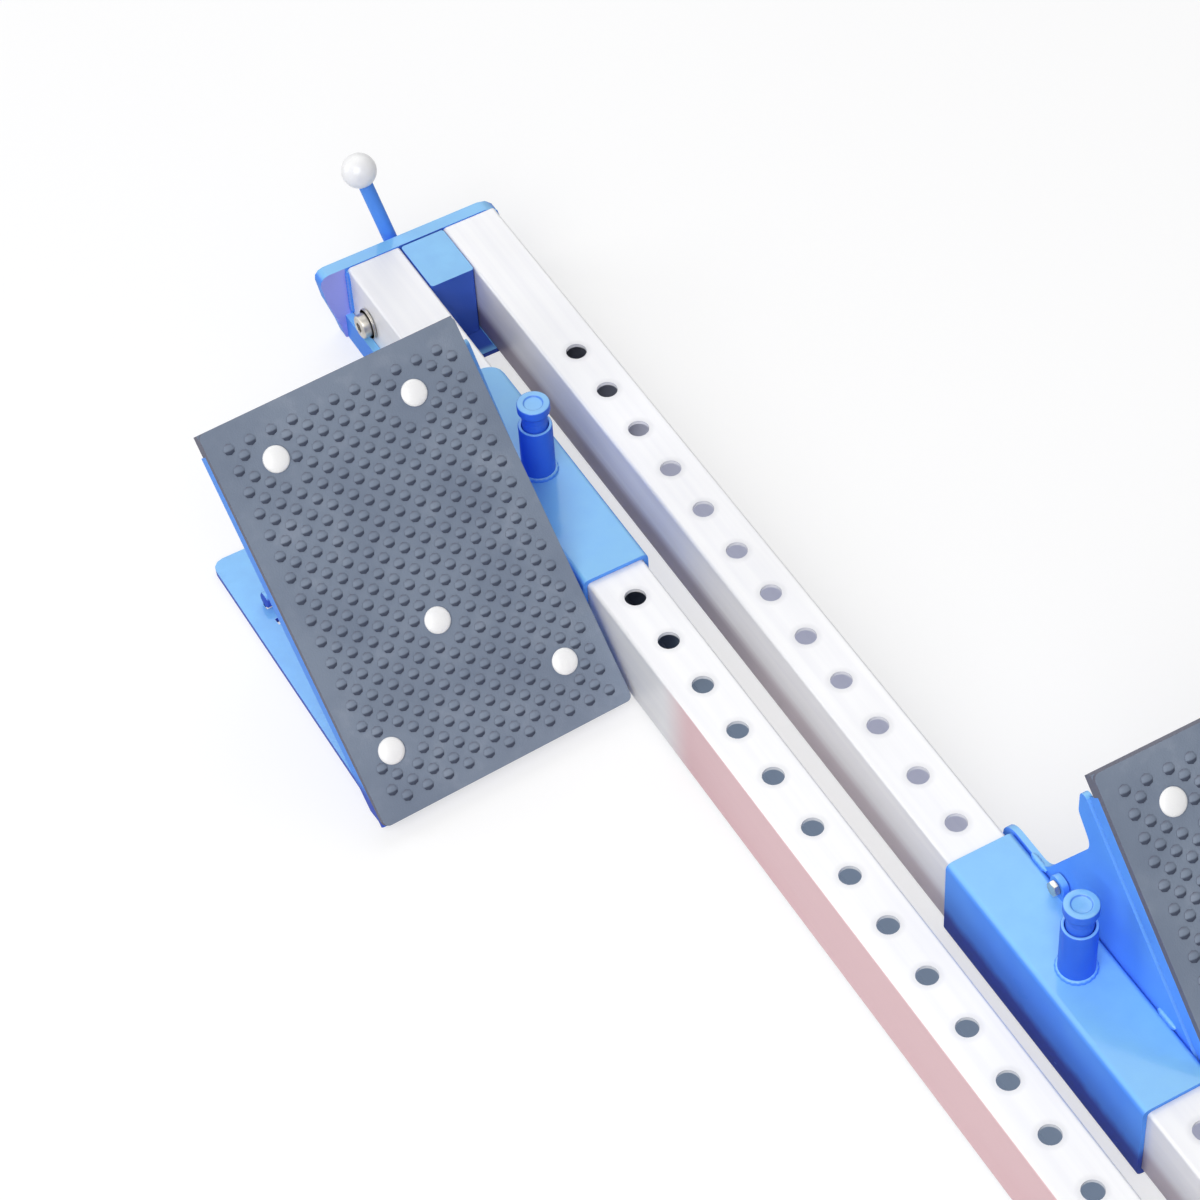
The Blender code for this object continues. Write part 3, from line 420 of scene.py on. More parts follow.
# %% Plastic, rivets, zinc and steel
def plain_finish(name, first, second, patch, grain, rough, spread, depth, **others):
    """Two tones in clouds of one size over a grain of another, both sizes in metres."""
    material, place = start_finish(name)
    clouds = noise(place, patch, 3.0)
    fine = noise(place, grain, 2.0)
    base = clouds.rise(0.3, 0.7).mix(first, second)
    return end_finish(material, base, rough + clouds * spread, fine + clouds, depth, **others)


WHITE = plain_finish(
    "white_moulded_plastic", colour(255, 255, 255), colour(250, 250, 252), patch=12 * MM,
    grain=1.5 * MM, rough=0.22, spread=0.12, depth=0.03 * MM, Coat_Weight=0.3,
)
RIVET_METAL = plain_finish(
    "bright_aluminium", colour(255, 255, 255), colour(252, 252, 253), patch=6 * MM,
    grain=0.8 * MM, rough=0.35, spread=0.12, depth=0.015 * MM, Metallic=0.08,
)
ZINC = plain_finish(
    "zinc_plate", colour(214, 209, 198), colour(186, 182, 174), patch=3 * MM,
    grain=0.6 * MM, rough=0.26, spread=0.2, depth=0.02 * MM, Metallic=0.9,
)
STEEL = plain_finish(
    "turned_steel", colour(168, 168, 172), colour(140, 141, 146), patch=4 * MM,
    grain=0.5 * MM, rough=0.28, spread=0.2, depth=0.02 * MM, Metallic=0.95,
)
FINISHES = {
    "blue_paint": BLUE, "deep_blue_paint": DEEP_BLUE, "rail_metal": RAIL_METAL, "rubber": RUBBER,
    "white_plastic": WHITE, "rivet_metal": RIVET_METAL, "zinc": ZINC, "steel": STEEL,
}

# %% [markdown]
# ## From a bmesh to a piece
#
# Each new shape ends the same way: it goes to its place, its faces are made to point outwards,
# flat faces and rounded edges are told apart by angle, the piece gets its finish and rides on
# its body, and the CAD node it stands for, if any, is hidden. A Weighted Normal modifier keeps
# large faces flat right up to their rounded edges.

# %% Finish a piece
SMOOTH_BELOW = math.radians(50)


def add_piece(name, bm, place, slot, body, node=None):
    """Makes an object of a shape at this place, parents it to its body and hides its CAD node."""
    bmesh.ops.transform(bm, matrix=place, verts=bm.verts)
    bmesh.ops.recalc_face_normals(bm, faces=bm.faces)
    mesh = bpy.data.meshes.new(name)
    bm.to_mesh(mesh)
    bm.free()
    mesh.materials.append(FINISHES[slot])
    mesh.shade_smooth()
    mesh.set_sharp_from_angle(angle=SMOOTH_BELOW)
    piece = bpy.data.objects.new(name, mesh)
    bpy.context.scene.collection.objects.link(piece)
    normals = piece.modifiers.new("Flat faces stay flat", "WEIGHTED_NORMAL")
    normals.keep_sharp = True
    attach(piece, body)
    if node:
        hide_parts(node)
    print(name, "has", len(mesh.polygons), "faces and rides on", body)
    return piece


# %% [markdown]
# Most shapes are either a flat outline that is pulled straight, or a profile that is turned
# about an axis as on a lathe. Edges of real plates are never knife-sharp: a narrow bevel
# catches the light, and that bright line is what makes a plate look like metal.

# %% Lathe, bar, bevel and drill
ALONG_X = Matrix.Rotation(math.pi / 2, 4, "Y")
MERGE = 0.001 * MM
SHARP_ABOVE = math.radians(40)


def turned(profile, sides=40):
    """Spins a profile of (radius, height) points about Z; off the axis it makes a ring."""
    bm = bmesh.new()
    points = [bm.verts.new((radius * MM, 0, height * MM)) for radius, height in profile]
    if profile[0][0] > 0:
        points.append(points[0])
    edges = [bm.edges.new(pair) for pair in zip(points, points[1:])]
    bmesh.ops.spin(
        bm, geom=bm.verts[:] + edges, cent=(0, 0, 0), axis=(0, 0, 1), angle=math.tau, steps=sides,
        use_merge=True,
    )
    bmesh.ops.remove_doubles(bm, verts=bm.verts, dist=MERGE)
    return bm


def bar(radius, start, end, sides=32):
    """A straight round bar, or a hexagon bar with 6 sides, along Z."""
    bm = bmesh.new()
    bmesh.ops.create_circle(bm, cap_ends=True, segments=sides, radius=radius * MM)
    made = bmesh.ops.extrude_face_region(bm, geom=bm.faces[:])["geom"]
    top = [item for item in made if isinstance(item, bmesh.types.BMVert)]
    bmesh.ops.translate(bm, verts=top, vec=(0, 0, (end - start) * MM))
    bmesh.ops.translate(bm, verts=bm.verts, vec=(0, 0, start * MM))
    return bm


def block(low, high):
    """A box between two corners, in millimetres."""
    bm = bmesh.new()
    bmesh.ops.create_cube(bm, size=1)
    size = [(far - near) * MM for near, far in zip(low, high)]
    middle = [(far + near) / 2 * MM for near, far in zip(low, high)]
    bmesh.ops.scale(bm, vec=size, verts=bm.verts)
    bmesh.ops.translate(bm, vec=middle, verts=bm.verts)
    return bm


def ease(bm, width, segments=2):
    """Rounds every sharp edge, as deep as this width in millimetres."""
    sharp = [edge for edge in bm.edges
             if edge.is_manifold and edge.calc_face_angle() > SHARP_ABOVE]
    bmesh.ops.bevel(
        bm, geom=sharp, offset=width * MM, offset_type="OFFSET", segments=segments, profile=0.5,
        affect="EDGES", clamp_overlap=True, material=-1,
    )
    return bm


def moved(bm, matrix):
    """The same shape, after this matrix has moved it."""
    bmesh.ops.transform(bm, matrix=matrix, verts=bm.verts)
    return bm


def joined(*parts):
    """Several shapes in one bmesh, each whole as it was."""
    whole = bmesh.new()
    for part in parts:
        mesh = bpy.data.meshes.new("part")
        part.to_mesh(mesh)
        part.free()
        whole.from_mesh(mesh)
        bpy.data.meshes.remove(mesh)
    return whole


def combined(bm, tool, operation="DIFFERENCE"):
    """The shape with the tool cut from it, or joined to it, by a Boolean that is applied here."""
    objects = []
    for part in (bm, tool):
        mesh = bpy.data.meshes.new("boolean part")
        bmesh.ops.recalc_face_normals(part, faces=part.faces)
        part.to_mesh(mesh)
        part.free()
        objects.append(bpy.data.objects.new("boolean part", mesh))
        bpy.context.scene.collection.objects.link(objects[-1])
    boolean = objects[0].modifiers.new("Boolean", "BOOLEAN")
    boolean.operation = operation
    boolean.object = objects[1]
    boolean.solver = "EXACT"
    result = bmesh.new()
    result.from_object(objects[0], bpy.context.evaluated_depsgraph_get())
    for part in objects:
        bpy.data.meshes.remove(part.data)
    bmesh.ops.remove_doubles(result, verts=result.verts, dist=MERGE)
    return result


def cad_copy(node):
    """A copy of a CAD solid, merged, its flat faces whole again instead of in triangles."""
    bm = bmesh.new()
    bm.from_mesh(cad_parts[node].data)
    bmesh.ops.remove_doubles(bm, verts=bm.verts, dist=2 * MERGE)
    bmesh.ops.dissolve_limit(bm, angle_limit=math.radians(1), verts=bm.verts, edges=bm.edges)
    return bm


# %% [markdown]
# ## Rails
#
# A rail is a rectangular tube. A cube is pulled to its size and its long edges are bevelled,
# then the ends are opened and the skin gets its wall with solidify. The holes are drilled by a
# Boolean with rows of round bars, ten each way from the middle, and a fine bevel gives each
# hole the small rounded rim that a punch leaves.

# %% Make the rails
RAIL_ROUND = 1.8 * MM
HOLE_RADIUS = 5
BOLT_HOLE_RADIUS = 4.3
HOLE_RIM = 0.35


def rail(side):
    """The rail on one side: 1 is right, -1 is left."""
    middle = side * RAIL_MIDDLE / MM
    half, reach = RAIL_HALF / MM, RAIL_REACH / MM
    bm = block(
        (middle - half, -reach, RAIL_BOTTOM / MM), (middle + half, reach, RAIL_TOP / MM),
    )
    long_edges = [edge for edge in bm.edges if edge.calc_length() > RAIL_REACH]
    bmesh.ops.bevel(
        bm, geom=long_edges, offset=RAIL_ROUND, segments=6, profile=0.5, affect="EDGES",
        material=-1,
    )
    ends = [face for face in bm.faces if abs(face.normal.y) > 0.9]
    bmesh.ops.delete(bm, geom=ends, context="FACES_ONLY")
    bmesh.ops.recalc_face_normals(bm, faces=bm.faces)
    bmesh.ops.solidify(bm, geom=bm.faces[:], thickness=RAIL_WALL)
    drills = []
    for end in (-1, 1):
        for hole in range(HOLES):
            y = end * (FIRST_HOLE + HOLE_PITCH * hole)
            drills.append(moved(bar(HOLE_RADIUS, 40, 50, 40), shift(side * RAIL_MIDDLE, y)))
        across = shift(0, end * BOLT_Y, BOLT_Z) @ ALONG_X
        drills.append(moved(bar(BOLT_HOLE_RADIUS, middle - 20, middle + 20), across))
    return ease(combined(bm, joined(*drills)), HOLE_RIM)


for name, side in (("right", 1), ("left", -1)):
    tube, node = rail(side), f"{name}_rail"
    piece = add_piece(f"{node}_tube", tube, shift(), "rail_metal", "frame", node)
    print("  its size:", [round(length, 4) for length in piece.dimensions])

# %% [markdown]
# ## Plates
#
# The brackets, sleeves, cheeks, base plates and pad plates have the right shape in the CAD
# model, but its edges are sharp. A copy of each solid is merged and its edges are rounded. The
# right sleeve's inner rear corner is cut round first, as the photo shows, and the pad plates'
# folded edges end short of the top, where the rubber wraps round the sheet.

# %% Round the edges of the plates
SLEEVE_CORNER = shift(9.6 * MM, -298.2 * MM)
CORNER_RADIUS = 10
PAD_LOW = (18, -181.5)
PAD_HIGH = (147, 9.5)
LIP = 9.5


def round_corner_tool():
    """What is left of a square block when a round bar is taken out of its corner."""
    square = block((-5, -5, -5), (CORNER_RADIUS, CORNER_RADIUS, 60))
    disc = bar(CORNER_RADIUS, -10, 70, 64)
    disc = moved(disc, shift(CORNER_RADIUS * MM, CORNER_RADIUS * MM))
    return moved(combined(square, disc), SLEEVE_CORNER)


PLATES = []
for end in ENDS:
    PLATES += [(f"{end}_end_bracket", 0.3, "frame"), (f"{end}_cross_member", 0.3, "frame")]
for side in BLOCKS:
    PLATES += [
        (f"{side}_sleeve", 0.6, f"{side}_block"),
        (f"{side}_side_cheek", 0.6, f"{side}_block"),
        (f"{side}_base_plate", 0.5, f"{side}_block"),
        (f"{side}_pad_plate", 0.4, f"{side}_pedal"),
    ]
for node, width, body in PLATES:
    shape = cad_copy(node)
    if node == "right_sleeve":
        shape = combined(shape, round_corner_tool())
    if "pad_plate" in node:
        fold = block((10, -195, -5), (155, PAD_LOW[1] + LIP, 4.4))
        shape = combined(shape, moved(fold, PEDALS[node.split("_")[0]]))
    add_piece(f"{node}_eased", ease(shape, width, 3), shift(), "blue_paint", body, node)

# %% [markdown]
# ## Pads
#
# The rubber pad is a flat slab with rounded edges and rows of small round studs, spaced about
# 10.5 mm apart with one more stud in the middle of each square. So the studs lie on a grid of
# half that step, where only every second place has one. The studs round each rivet are left
# out, as the mould has a flat there. A stud is repeated hundreds of times, so it is a short
# stack of three rings: round enough, and only 26 faces. At the top the rubber wraps round the
# steel sheet in a lip: a block with a slot for the sheet. Both pads are the same piece, so on
# the left block, which is mirrored, the places are counted from the other edge.

# %% Make the pads
SKIN_LOW, SKIN_HIGH = 7.1, 11.1
SHEET_LOW = 4.45
LIP_LOW = 3.2
RUBBER_PROUD = 0.4
STUD_RADIUS = 2.7
STUD_RINGS = ((0.45, 0.76), (0.35, 0.42))
STUD_STEP = (5.3, 5.2)
FIRST_STUD = (9.7, 10.8)
STUD_ROWS, STUD_COLUMNS = 34, 22
BARE_STRIPS = (8, 7)
RIVET_CLEAR = 9
RIVET_HOLE_RADIUS = 2.8
RIVET_PLACES = ((31.5, 167.5), (102, 167.5), (67, 72), (21.5, 29.5), (112, 29.5))
RIVETS = {
    "right": [(PAD_LOW[0] + across, PAD_HIGH[1] - up) for across, up in RIVET_PLACES],
    "left": [(PAD_HIGH[0] - across, PAD_HIGH[1] - up) for across, up in RIVET_PLACES],
}


def stud():
    """Eight sides that rise from just below the skin, then a ring for each row of STUD_RINGS."""
    bm = bar(STUD_RADIUS, SKIN_HIGH - 0.2, SKIN_HIGH + 0.3, 8)
    for rise, size in STUD_RINGS:
        top = max(bm.faces, key=lambda face: face.calc_center_median().z)
        made = bmesh.ops.extrude_face_region(bm, geom=[top])["geom"]
        bmesh.ops.delete(bm, geom=[top], context="FACES_ONLY")
        rim = [item for item in made if isinstance(item, bmesh.types.BMVert)]
        bmesh.ops.translate(bm, verts=rim, vec=(0, 0, rise * MM))
        bmesh.ops.scale(bm, verts=rim, vec=(size, size, 1))
    return bm


def stud_spots(side):
    """The middles of the studs, in millimetres on the pad."""
    spots = []
    for row in range(STUD_ROWS):
        for column in range(STUD_COLUMNS):
            inset = FIRST_STUD[0] + STUD_STEP[0] * column
            x = PAD_HIGH[0] - inset if side == "right" else PAD_LOW[0] + inset
            y = PAD_LOW[1] + FIRST_STUD[1] + STUD_STEP[1] * row
            bare = inset > PAD_HIGH[0] - PAD_LOW[0] - BARE_STRIPS[0]
            bare = bare or y > PAD_HIGH[1] - BARE_STRIPS[1]
            nearest = min(math.hypot(x - a, y - b) for a, b in RIVETS[side])
            if (row + column) % 2 == 0 and not bare and nearest > RIVET_CLEAR:
                spots.append((x, y))
    return spots


def pad(side):
    """The slab, its lip over the sheet, the rivets' holes and the studs."""
    left, top = PAD_LOW[0] - RUBBER_PROUD, PAD_LOW[1] - RUBBER_PROUD
    right = PAD_HIGH[0] + RUBBER_PROUD
    slab = block((left, top, SKIN_LOW), (right, PAD_HIGH[1], SKIN_HIGH))
    upright = [edge for edge in slab.edges if abs(edge.verts[0].co.z - edge.verts[1].co.z) > MM]
    bmesh.ops.bevel(
        slab, geom=upright, offset=3 * MM, segments=6, profile=0.5, affect="EDGES", material=-1,
    )
    lip = block((left, top, LIP_LOW), (right, PAD_LOW[1] + LIP, 9))
    slot = block(
        (PAD_LOW[0] - 0.05, PAD_LOW[1] - 0.05, SHEET_LOW),
        (PAD_HIGH[0] + 0.05, PAD_LOW[1] + 20, SKIN_LOW),
    )
    slab = combined(combined(slab, lip, "UNION"), slot)
    drill = [moved(bar(RIVET_HOLE_RADIUS, 0, 20, 24), shift(x * MM, y * MM))
             for x, y in RIVETS[side]]
    slab = ease(combined(slab, joined(*drill)), 0.8, 3)
    return joined(slab, *[moved(stud(), shift(x * MM, y * MM)) for x, y in stud_spots(side)])


for side, place in PEDALS.items():
    add_piece(
        f"{side}_studded_pad", pad(side), place, "rubber", f"{side}_pedal", f"{side}_rubber_pad",
    )
    print("  studs on it:", len(stud_spots(side)))

# %% [markdown]
# ## Rivets
#
# Five rivets hold each pad to its plate. A rivet has a low domed head, a shank through both
# layers and a tail that was pressed flat behind. The dome is part of a circle, so its profile
# comes from a sine and a cosine.

# %% Make the rivets
def rivet():
    """The tail, the shank and the domed head in one profile."""
    dome = [math.radians(angle) for angle in range(0, 91, 10)]
    head = [(6.2 * math.cos(angle), 11.8 + 1.7 * math.sin(angle)) for angle in dome[:-1]]
    tail = [(0, 2.4), (2.6, 2.4), (3.4, 2.8), (4, 4), (2.5, 4), (2.5, 11.4), (5.9, 11.4)]
    return turned(tail + head + [(0, 13.5)])


for side, place in PEDALS.items():
    for number, (x, y) in enumerate(RIVETS[side], 1):
        spot = place @ shift(x * MM, y * MM)
        node = f"{side}_pad_rivet_{number}"
        add_piece(f"{node}_domed", rivet(), spot, "rivet_metal", f"{side}_pedal", node)

# %% [markdown]
# ## Spring plungers
#
# A tube is welded on the sleeve over the holes, and a knob on a stem goes up and down in it.
# All of it is turned work, so each piece is a profile and a spin. The weld round the tube's
# foot is a ring whose thickness swells and sinks, as the puddle of metal froze bit by bit.

# %% Make the plungers
HOUSING = (
    (6.3, 47.8), (6.3, 66), (4.75, 66), (4.75, 68), (6.3, 68), (6.3, 77.6), (6.7, 78), (7.4, 78),
    (7.8, 77.8), (8, 77.3), (8, 48.1), (7.9, 47.8),
)
KNOB = (
    (0, 86.3), (4.6, 86.3), (4.6, 76.5), (5.6, 76.5), (6, 76.9), (6, 81.2), (5.7, 81.5),
    (5.7, 82.1), (6, 82.4), (6, 84.9), (6.15, 85.7), (6.5, 86.2), (7.1, 86.4), (7.35, 87),
    (7.6, 87.3), (7.75, 87.8), (7.75, 91.2), (7.6, 91.7), (7.1, 92), (5, 92), (4.6, 91.8),
    (4.3, 91.2), (3.8, 91), (0, 91),
)
PLUNGER_PIN = (
    (0, 45.3), (3.3, 45.3), (4.1, 45.7), (4.5, 46.5), (4.5, 55.8), (4.7, 56), (5.7, 56), (6, 56.3),
    (6, 57.7), (5.7, 58), (4.3, 58), (4.3, 85.7), (4, 86), (0, 86),
)


def ring_weld(radius, height, thickness, ripples):
    """A round bead about Z that swells and sinks as many times as it has ripples."""
    bm = turned([
        (radius + thickness * math.cos(angle), height + thickness * math.sin(angle))
        for angle in [math.tau * step / 10 for step in range(10)]
    ], ripples * 4)
    for vert in bm.verts:
        angle = math.atan2(vert.co.y, vert.co.x)
        out = vert.co.xy.length - radius * MM
        swell = 1 + 0.12 * math.sin(angle * ripples) + 0.10 * math.sin(angle * 3 + 1)
        vert.co.xy = vert.co.xy.normalized() * (radius * MM + out * swell)
    return bm


for side, place in BLOCKS.items():
    still, moving = f"{side}_block", f"{side}_plunger"
    tube, knob, stem = turned(HOUSING, 48), turned(KNOB, 48), turned(PLUNGER_PIN, 40)
    weld = ring_weld(7.9, 48.3, 1.3, 22)
    add_piece(f"{side}_housing_tube", tube, place, "deep_blue_paint", still, f"{moving}_housing")
    add_piece(f"{side}_housing_weld", weld, place, "blue_paint", still)
    add_piece(f"{side}_knob", knob, place, "deep_blue_paint", moving, f"{moving}_cap")
    add_piece(f"{moving}_stem", stem, place, "steel", moving, f"{moving}_pin")

# %% [markdown]
# The coil that pushes each plunger down is one bent wire. A short curve with a round bevel
# would do, but a bmesh can wind it too: a circle is spun while it is lifted, which is what
# the dvec of a spin is for.

# %% Wind the springs
COIL_RADIUS = 5.25 * MM
WIRE_RADIUS = 0.55 * MM
COIL_LOW = 58.85 * MM
COIL_HIGH = 65.15 * MM


def spring():
    """A coil of four turns, its wire's ends closed."""
    turns, steps = 4, 24
    rise = COIL_HIGH - COIL_LOW
    bm = bmesh.new()
    bmesh.ops.create_circle(bm, segments=10, radius=WIRE_RADIUS)
    moved(bm, shift(COIL_RADIUS, 0, COIL_LOW) @ Matrix.Rotation(math.pi / 2, 4, "X"))
    first = bm.edges[:]
    made = bmesh.ops.spin(
        bm, geom=bm.verts[:] + first, cent=(0, 0, 0), axis=(0, 0, 1), angle=math.tau * turns,
        steps=turns * steps, dvec=(0, 0, rise / (turns * steps)), use_merge=False,
    )
    last = [item for item in made["geom_last"] if isinstance(item, bmesh.types.BMEdge)]
    bmesh.ops.contextual_create(bm, geom=first)
    bmesh.ops.contextual_create(bm, geom=last)
    return bm


for side, place in BLOCKS.items():
    moving = f"{side}_plunger"
    add_piece(f"{side}_coil", spring(), place, "steel", moving, f"{moving}_spring")

# %% [markdown]
# ## Bolts and nuts
#
# A bolt goes right through both rails at each end, with a socket head and a washer on one side
# and a nut on the other. A smaller hexagon bolt holds each cheek to its sleeve. Hexagons get
# their chamfer from a lathe shape: where a hexagon bar and a turned cone overlap is a nut's
# rounded crown.

# %% Make the bolts and nuts
def hexagon(width, start, end, bore=0.0):
    """A hexagon bar with both crowns chamfered, and a hole if a bore is given."""
    drop = width * 0.10
    crown = turned((
        (0, start), (width * 0.84, start), (width * 1.01, start + drop),
        (width * 1.01, end - drop), (width * 0.84, end), (0, end),
    ), 48)
    shape = combined(bar(width, start, end, 6), crown, "INTERSECT")
    return combined(shape, bar(bore, start - 5, end + 5)) if bore else shape


def thread(radius, start, end, pitch):
    """A threaded length of a bolt: a bar with a row of ridges up it."""
    profile = [(0, start), (radius - 0.6, start), (radius - 0.1, start + 0.5)]
    height = start + 0.5
    while height + pitch < end:
        profile += [(radius, height + pitch * 0.3), (radius, height + pitch * 0.5)]
        profile.append((radius - 0.45, height + pitch))
        height += pitch
    return turned(profile + [(radius, height + pitch * 0.3), (radius, end), (0, end)], 32)


def cross_bolt():
    """The head with its hexagon socket, the washer, the shank and the thread, along Z."""
    head = turned((
        (0, 42.3), (8, 42.3), (8, 42.7), (7.8, 42.9), (6.1, 42.9), (6.2, 43.2), (6.2, 46.4),
        (5.9, 47.1), (5.2, 47.4), (0, 47.4),
    ), 48)
    washer = turned(((3, 41.4), (7.6, 41.4), (8, 41.7), (8, 42.6), (7.7, 42.9), (3, 42.9)), 48)
    socket = combined(head, bar(2.9, 43.9, 55, 6))
    shank = turned(((0, -38), (4, -38), (4, 43), (0, 43)), 32)
    return joined(socket, washer, shank, thread(4, -46.6, -37.9, 1.25))


for end, place in ENDS.items():
    spot = place @ shift(0, -BOLT_Y, BOLT_Z) @ ALONG_X
    add_piece(f"{end}_socket_bolt", cross_bolt(), spot, "zinc", "frame", f"{end}_cross_bolt")
    nut = hexagon(7.5, -45.6, -41.4, 4.3)
    add_piece(f"{end}_hexagon_nut", nut, spot, "zinc", "frame", f"{end}_cross_nut")
for side, place in BLOCKS.items():
    spot = place @ shift(0, -35 * MM, 53 * MM) @ ALONG_X
    bolt = joined(hexagon(3.68, 10.8, 13.4), thread(2, 13.3, 24.3, 0.7))
    add_piece(f"{side}_hexagon_bolt", bolt, spot, "zinc", f"{side}_block", f"{side}_cheek_bolt")
    nut = hexagon(3.68, 20.6, 23.8, 2.3)
    add_piece(f"{side}_hexagon_nut", nut, spot, "zinc", f"{side}_block", f"{side}_cheek_nut")

# %% [markdown]
# ## Ground pins
#
# A pin with a point runs in a short tube behind each end plate, and a white ball is screwed on
# its top. The ball is a turned profile again: a circle's points, with a small flat collar
# where the pin enters.

# %% Make the ground pins
def ball_profile(radius, middle, bore, seat):
    """A ball's outline from the pin's seat out of the bore and round to the top."""
    opening = math.asin((bore + 1.1) / radius)
    angles = [(math.pi - opening) * (1 - step / 24) for step in range(25)]
    arc = [(radius * math.sin(angle), middle + radius * math.cos(angle)) for angle in angles[:-1]]
    low = arc[0][1] - 0.3
    collar = [(0, seat), (bore, seat), (bore, low), (bore + 0.9, low)]
    return collar + arc + [(0, middle + radius)]


PIN = (
    (0, 0.82), (0.9, 0.82), (1.3, 1.1), (3.45, 6.5), (3.65, 7.2), (3.65, 92.4), (3.3, 92.8),
    (0, 92.8),
)
GUIDE = (
    (3.95, 4.4), (4.3, 4), (4.8, 4), (5.3, 4.5), (5.3, 35.5), (4.8, 36), (4.3, 36), (3.95, 35.6),
)
for end, place in PINS.items():
    shaft, tube, moving = turned(PIN, 32), turned(GUIDE, 40), f"{end}_pin"
    add_piece(f"{end}_pin_shaft", shaft, place, "blue_paint", moving, f"{end}_ground_pin")
    add_piece(f"{end}_guide_tube", tube, place, "blue_paint", "frame", f"{end}_pin_guide")
    ball = turned(ball_profile(8.75, 93.6, 3.95, 93.1), 56)
    add_piece(f"{end}_ball_knob", ball, place, "white_plastic", moving, f"{end}_pin_ball")

# %% [markdown]
# ## Props and pins under the pedals
#
# The prop is a tube on the pedal's pivot pin, two flat arms and a foot bar that drops into a
# notch of the base plate. The tubes are turned, the arms are flat bars with round ends, and a
# Boolean joins them into one welded piece.

# %% Make the props and their pins
def arm(start, end):
    """A flat bar with round ends, from the pivot to the foot, along -Y."""
    bm = bmesh.new()
    bmesh.ops.create_circle(bm, cap_ends=True, segments=32, radius=3.4 * MM)
    far = [vert for vert in bm.verts if vert.co.y < -MERGE]
    bmesh.ops.translate(bm, verts=far, vec=(0, -PROP_LENGTH, 0))
    made = bmesh.ops.extrude_face_region(bm, geom=bm.faces[:])["geom"]
    top = [item for item in made if isinstance(item, bmesh.types.BMVert)]
    bmesh.ops.translate(bm, verts=top, vec=(0, 0, (end - start) * MM))
    bmesh.ops.recalc_face_normals(bm, faces=bm.faces)
    return moved(ease(bm, 0.5), Matrix.Rotation(math.pi / 2, 4, "Y") @ shift(0, 0, start * MM))


def cross_tube(radius, start, end, bore=0.0):
    """A tube or bar along X with eased ends."""
    profile = [
        (bore, start), (radius - 0.5, start), (radius, start + 0.5), (radius, end - 0.5),
        (radius - 0.5, end), (bore, end),
    ]
    return moved(turned(profile, 40), ALONG_X)


def prop():
    """Two arms between a tube on the pivot pin and a foot bar, drawn hanging from the pivot."""
    foot = moved(cross_tube(4, 38, 127), shift(0, -PROP_LENGTH))
    shape = combined(cross_tube(4, 45, 120, 2.3), foot, "UNION")
    arms = joined(arm(45.6, 50), arm(115, 119.4))
    shape = combined(shape, arms, "UNION")
    return combined(shape, moved(bar(2.3, 0, 200), ALONG_X))


for side, place in PEDALS.items():
    add_piece(f"{side}_strut", prop(), PROPS[side], "blue_paint", f"{side}_prop", f"{side}_prop")
    hinge = cross_tube(2, 20.8, 144.2)
    add_piece(f"{side}_hinge_rod", hinge, place, "steel", f"{side}_block", f"{side}_hinge_pin")
    heads = [cross_tube(3, start, start + 1.5) for start in (36.2, 127.3)]
    rod = moved(joined(cross_tube(2, 36.5, 128.5), *heads), shift(0, -PROP_LENGTH))
    add_piece(f"{side}_pivot_rod", rod, place, "steel", f"{side}_pedal", f"{side}_prop_pin")

# %% [markdown]
# ## Weld beads
#
# Short welds hold the cheeks to the sleeves and the rails' outer corners to the end plates. A
# bead is drawn as a welder lays it: a small disc is extruded step by step along the joint, and
# each step swells or shrinks a little, which gives the ripples. Both ends of a bead are thin.

# %% Lay the welds
THIN_END = 0.45


def bead(start, end, radius):
    """A rippled bead between two points, in millimetres."""
    start, end = Vector(start), Vector(end)
    length = (end - start).length
    steps = max(6, round(length / 0.7))
    bm = bmesh.new()
    bmesh.ops.create_circle(bm, cap_ends=True, segments=12, radius=radius * THIN_END * MM)
    tip = bm.faces[:]
    size = THIN_END
    for step in range(1, steps + 1):
        made = bmesh.ops.extrude_face_region(bm, geom=tip)["geom"]
        if step > 1:
            bmesh.ops.delete(bm, geom=tip, context="FACES_ONLY")
        tip = [item for item in made if isinstance(item, bmesh.types.BMFace)]
        verts = [item for item in made if isinstance(item, bmesh.types.BMVert)]
        bmesh.ops.translate(bm, verts=verts, vec=(0, 0, length / steps * MM))
        taper = min(1, THIN_END + 0.2 * min(step, steps - step))
        wanted = taper * (1 + 0.10 * math.sin(step * 2.1))
        bmesh.ops.scale(bm, verts=verts, vec=(wanted / size, wanted / size, 1))
        size = wanted
    turn = (end - start).to_track_quat("Z", "Y").to_matrix().to_4x4()
    return moved(bm, Matrix.Translation(start * MM) @ turn)


for side, place in BLOCKS.items():
    beads = joined(
        bead((17.1, -58, 47.4), (17.1, -47, 47.4), 1.5),
        bead((17.1, 34, 47.4), (17.1, 46, 47.4), 1.5),
    )
    add_piece(f"{side}_cheek_welds", beads, place, "blue_paint", f"{side}_block")
for end, place in ENDS.items():
    beads = joined(
        bead((41.3, -395.6, 16), (41.3, -395.6, 43.5), 1.6),
        bead((-41.3, -395.6, 4), (-41.3, -395.6, 43.5), 1.4),
    )
    add_piece(f"{end}_corner_welds", beads, place, "blue_paint", "frame")

# %% [markdown]
# ## Floor, light and camera
#
# The photo was taken in a white studio. The floor is white and takes the object's shadow. More
# light would make it white too, but would bleach the object. So it has a glow of its own, seen
# only by the camera and in reflections, which lifts it to pure white.

# %% Lay the floor
FLOOR_GLOW = 0.6


def light_path(tree, name):
    """1 for one kind of ray and 0 for all others."""
    return Socket(tree).node("ShaderNodeLightPath", output=name)


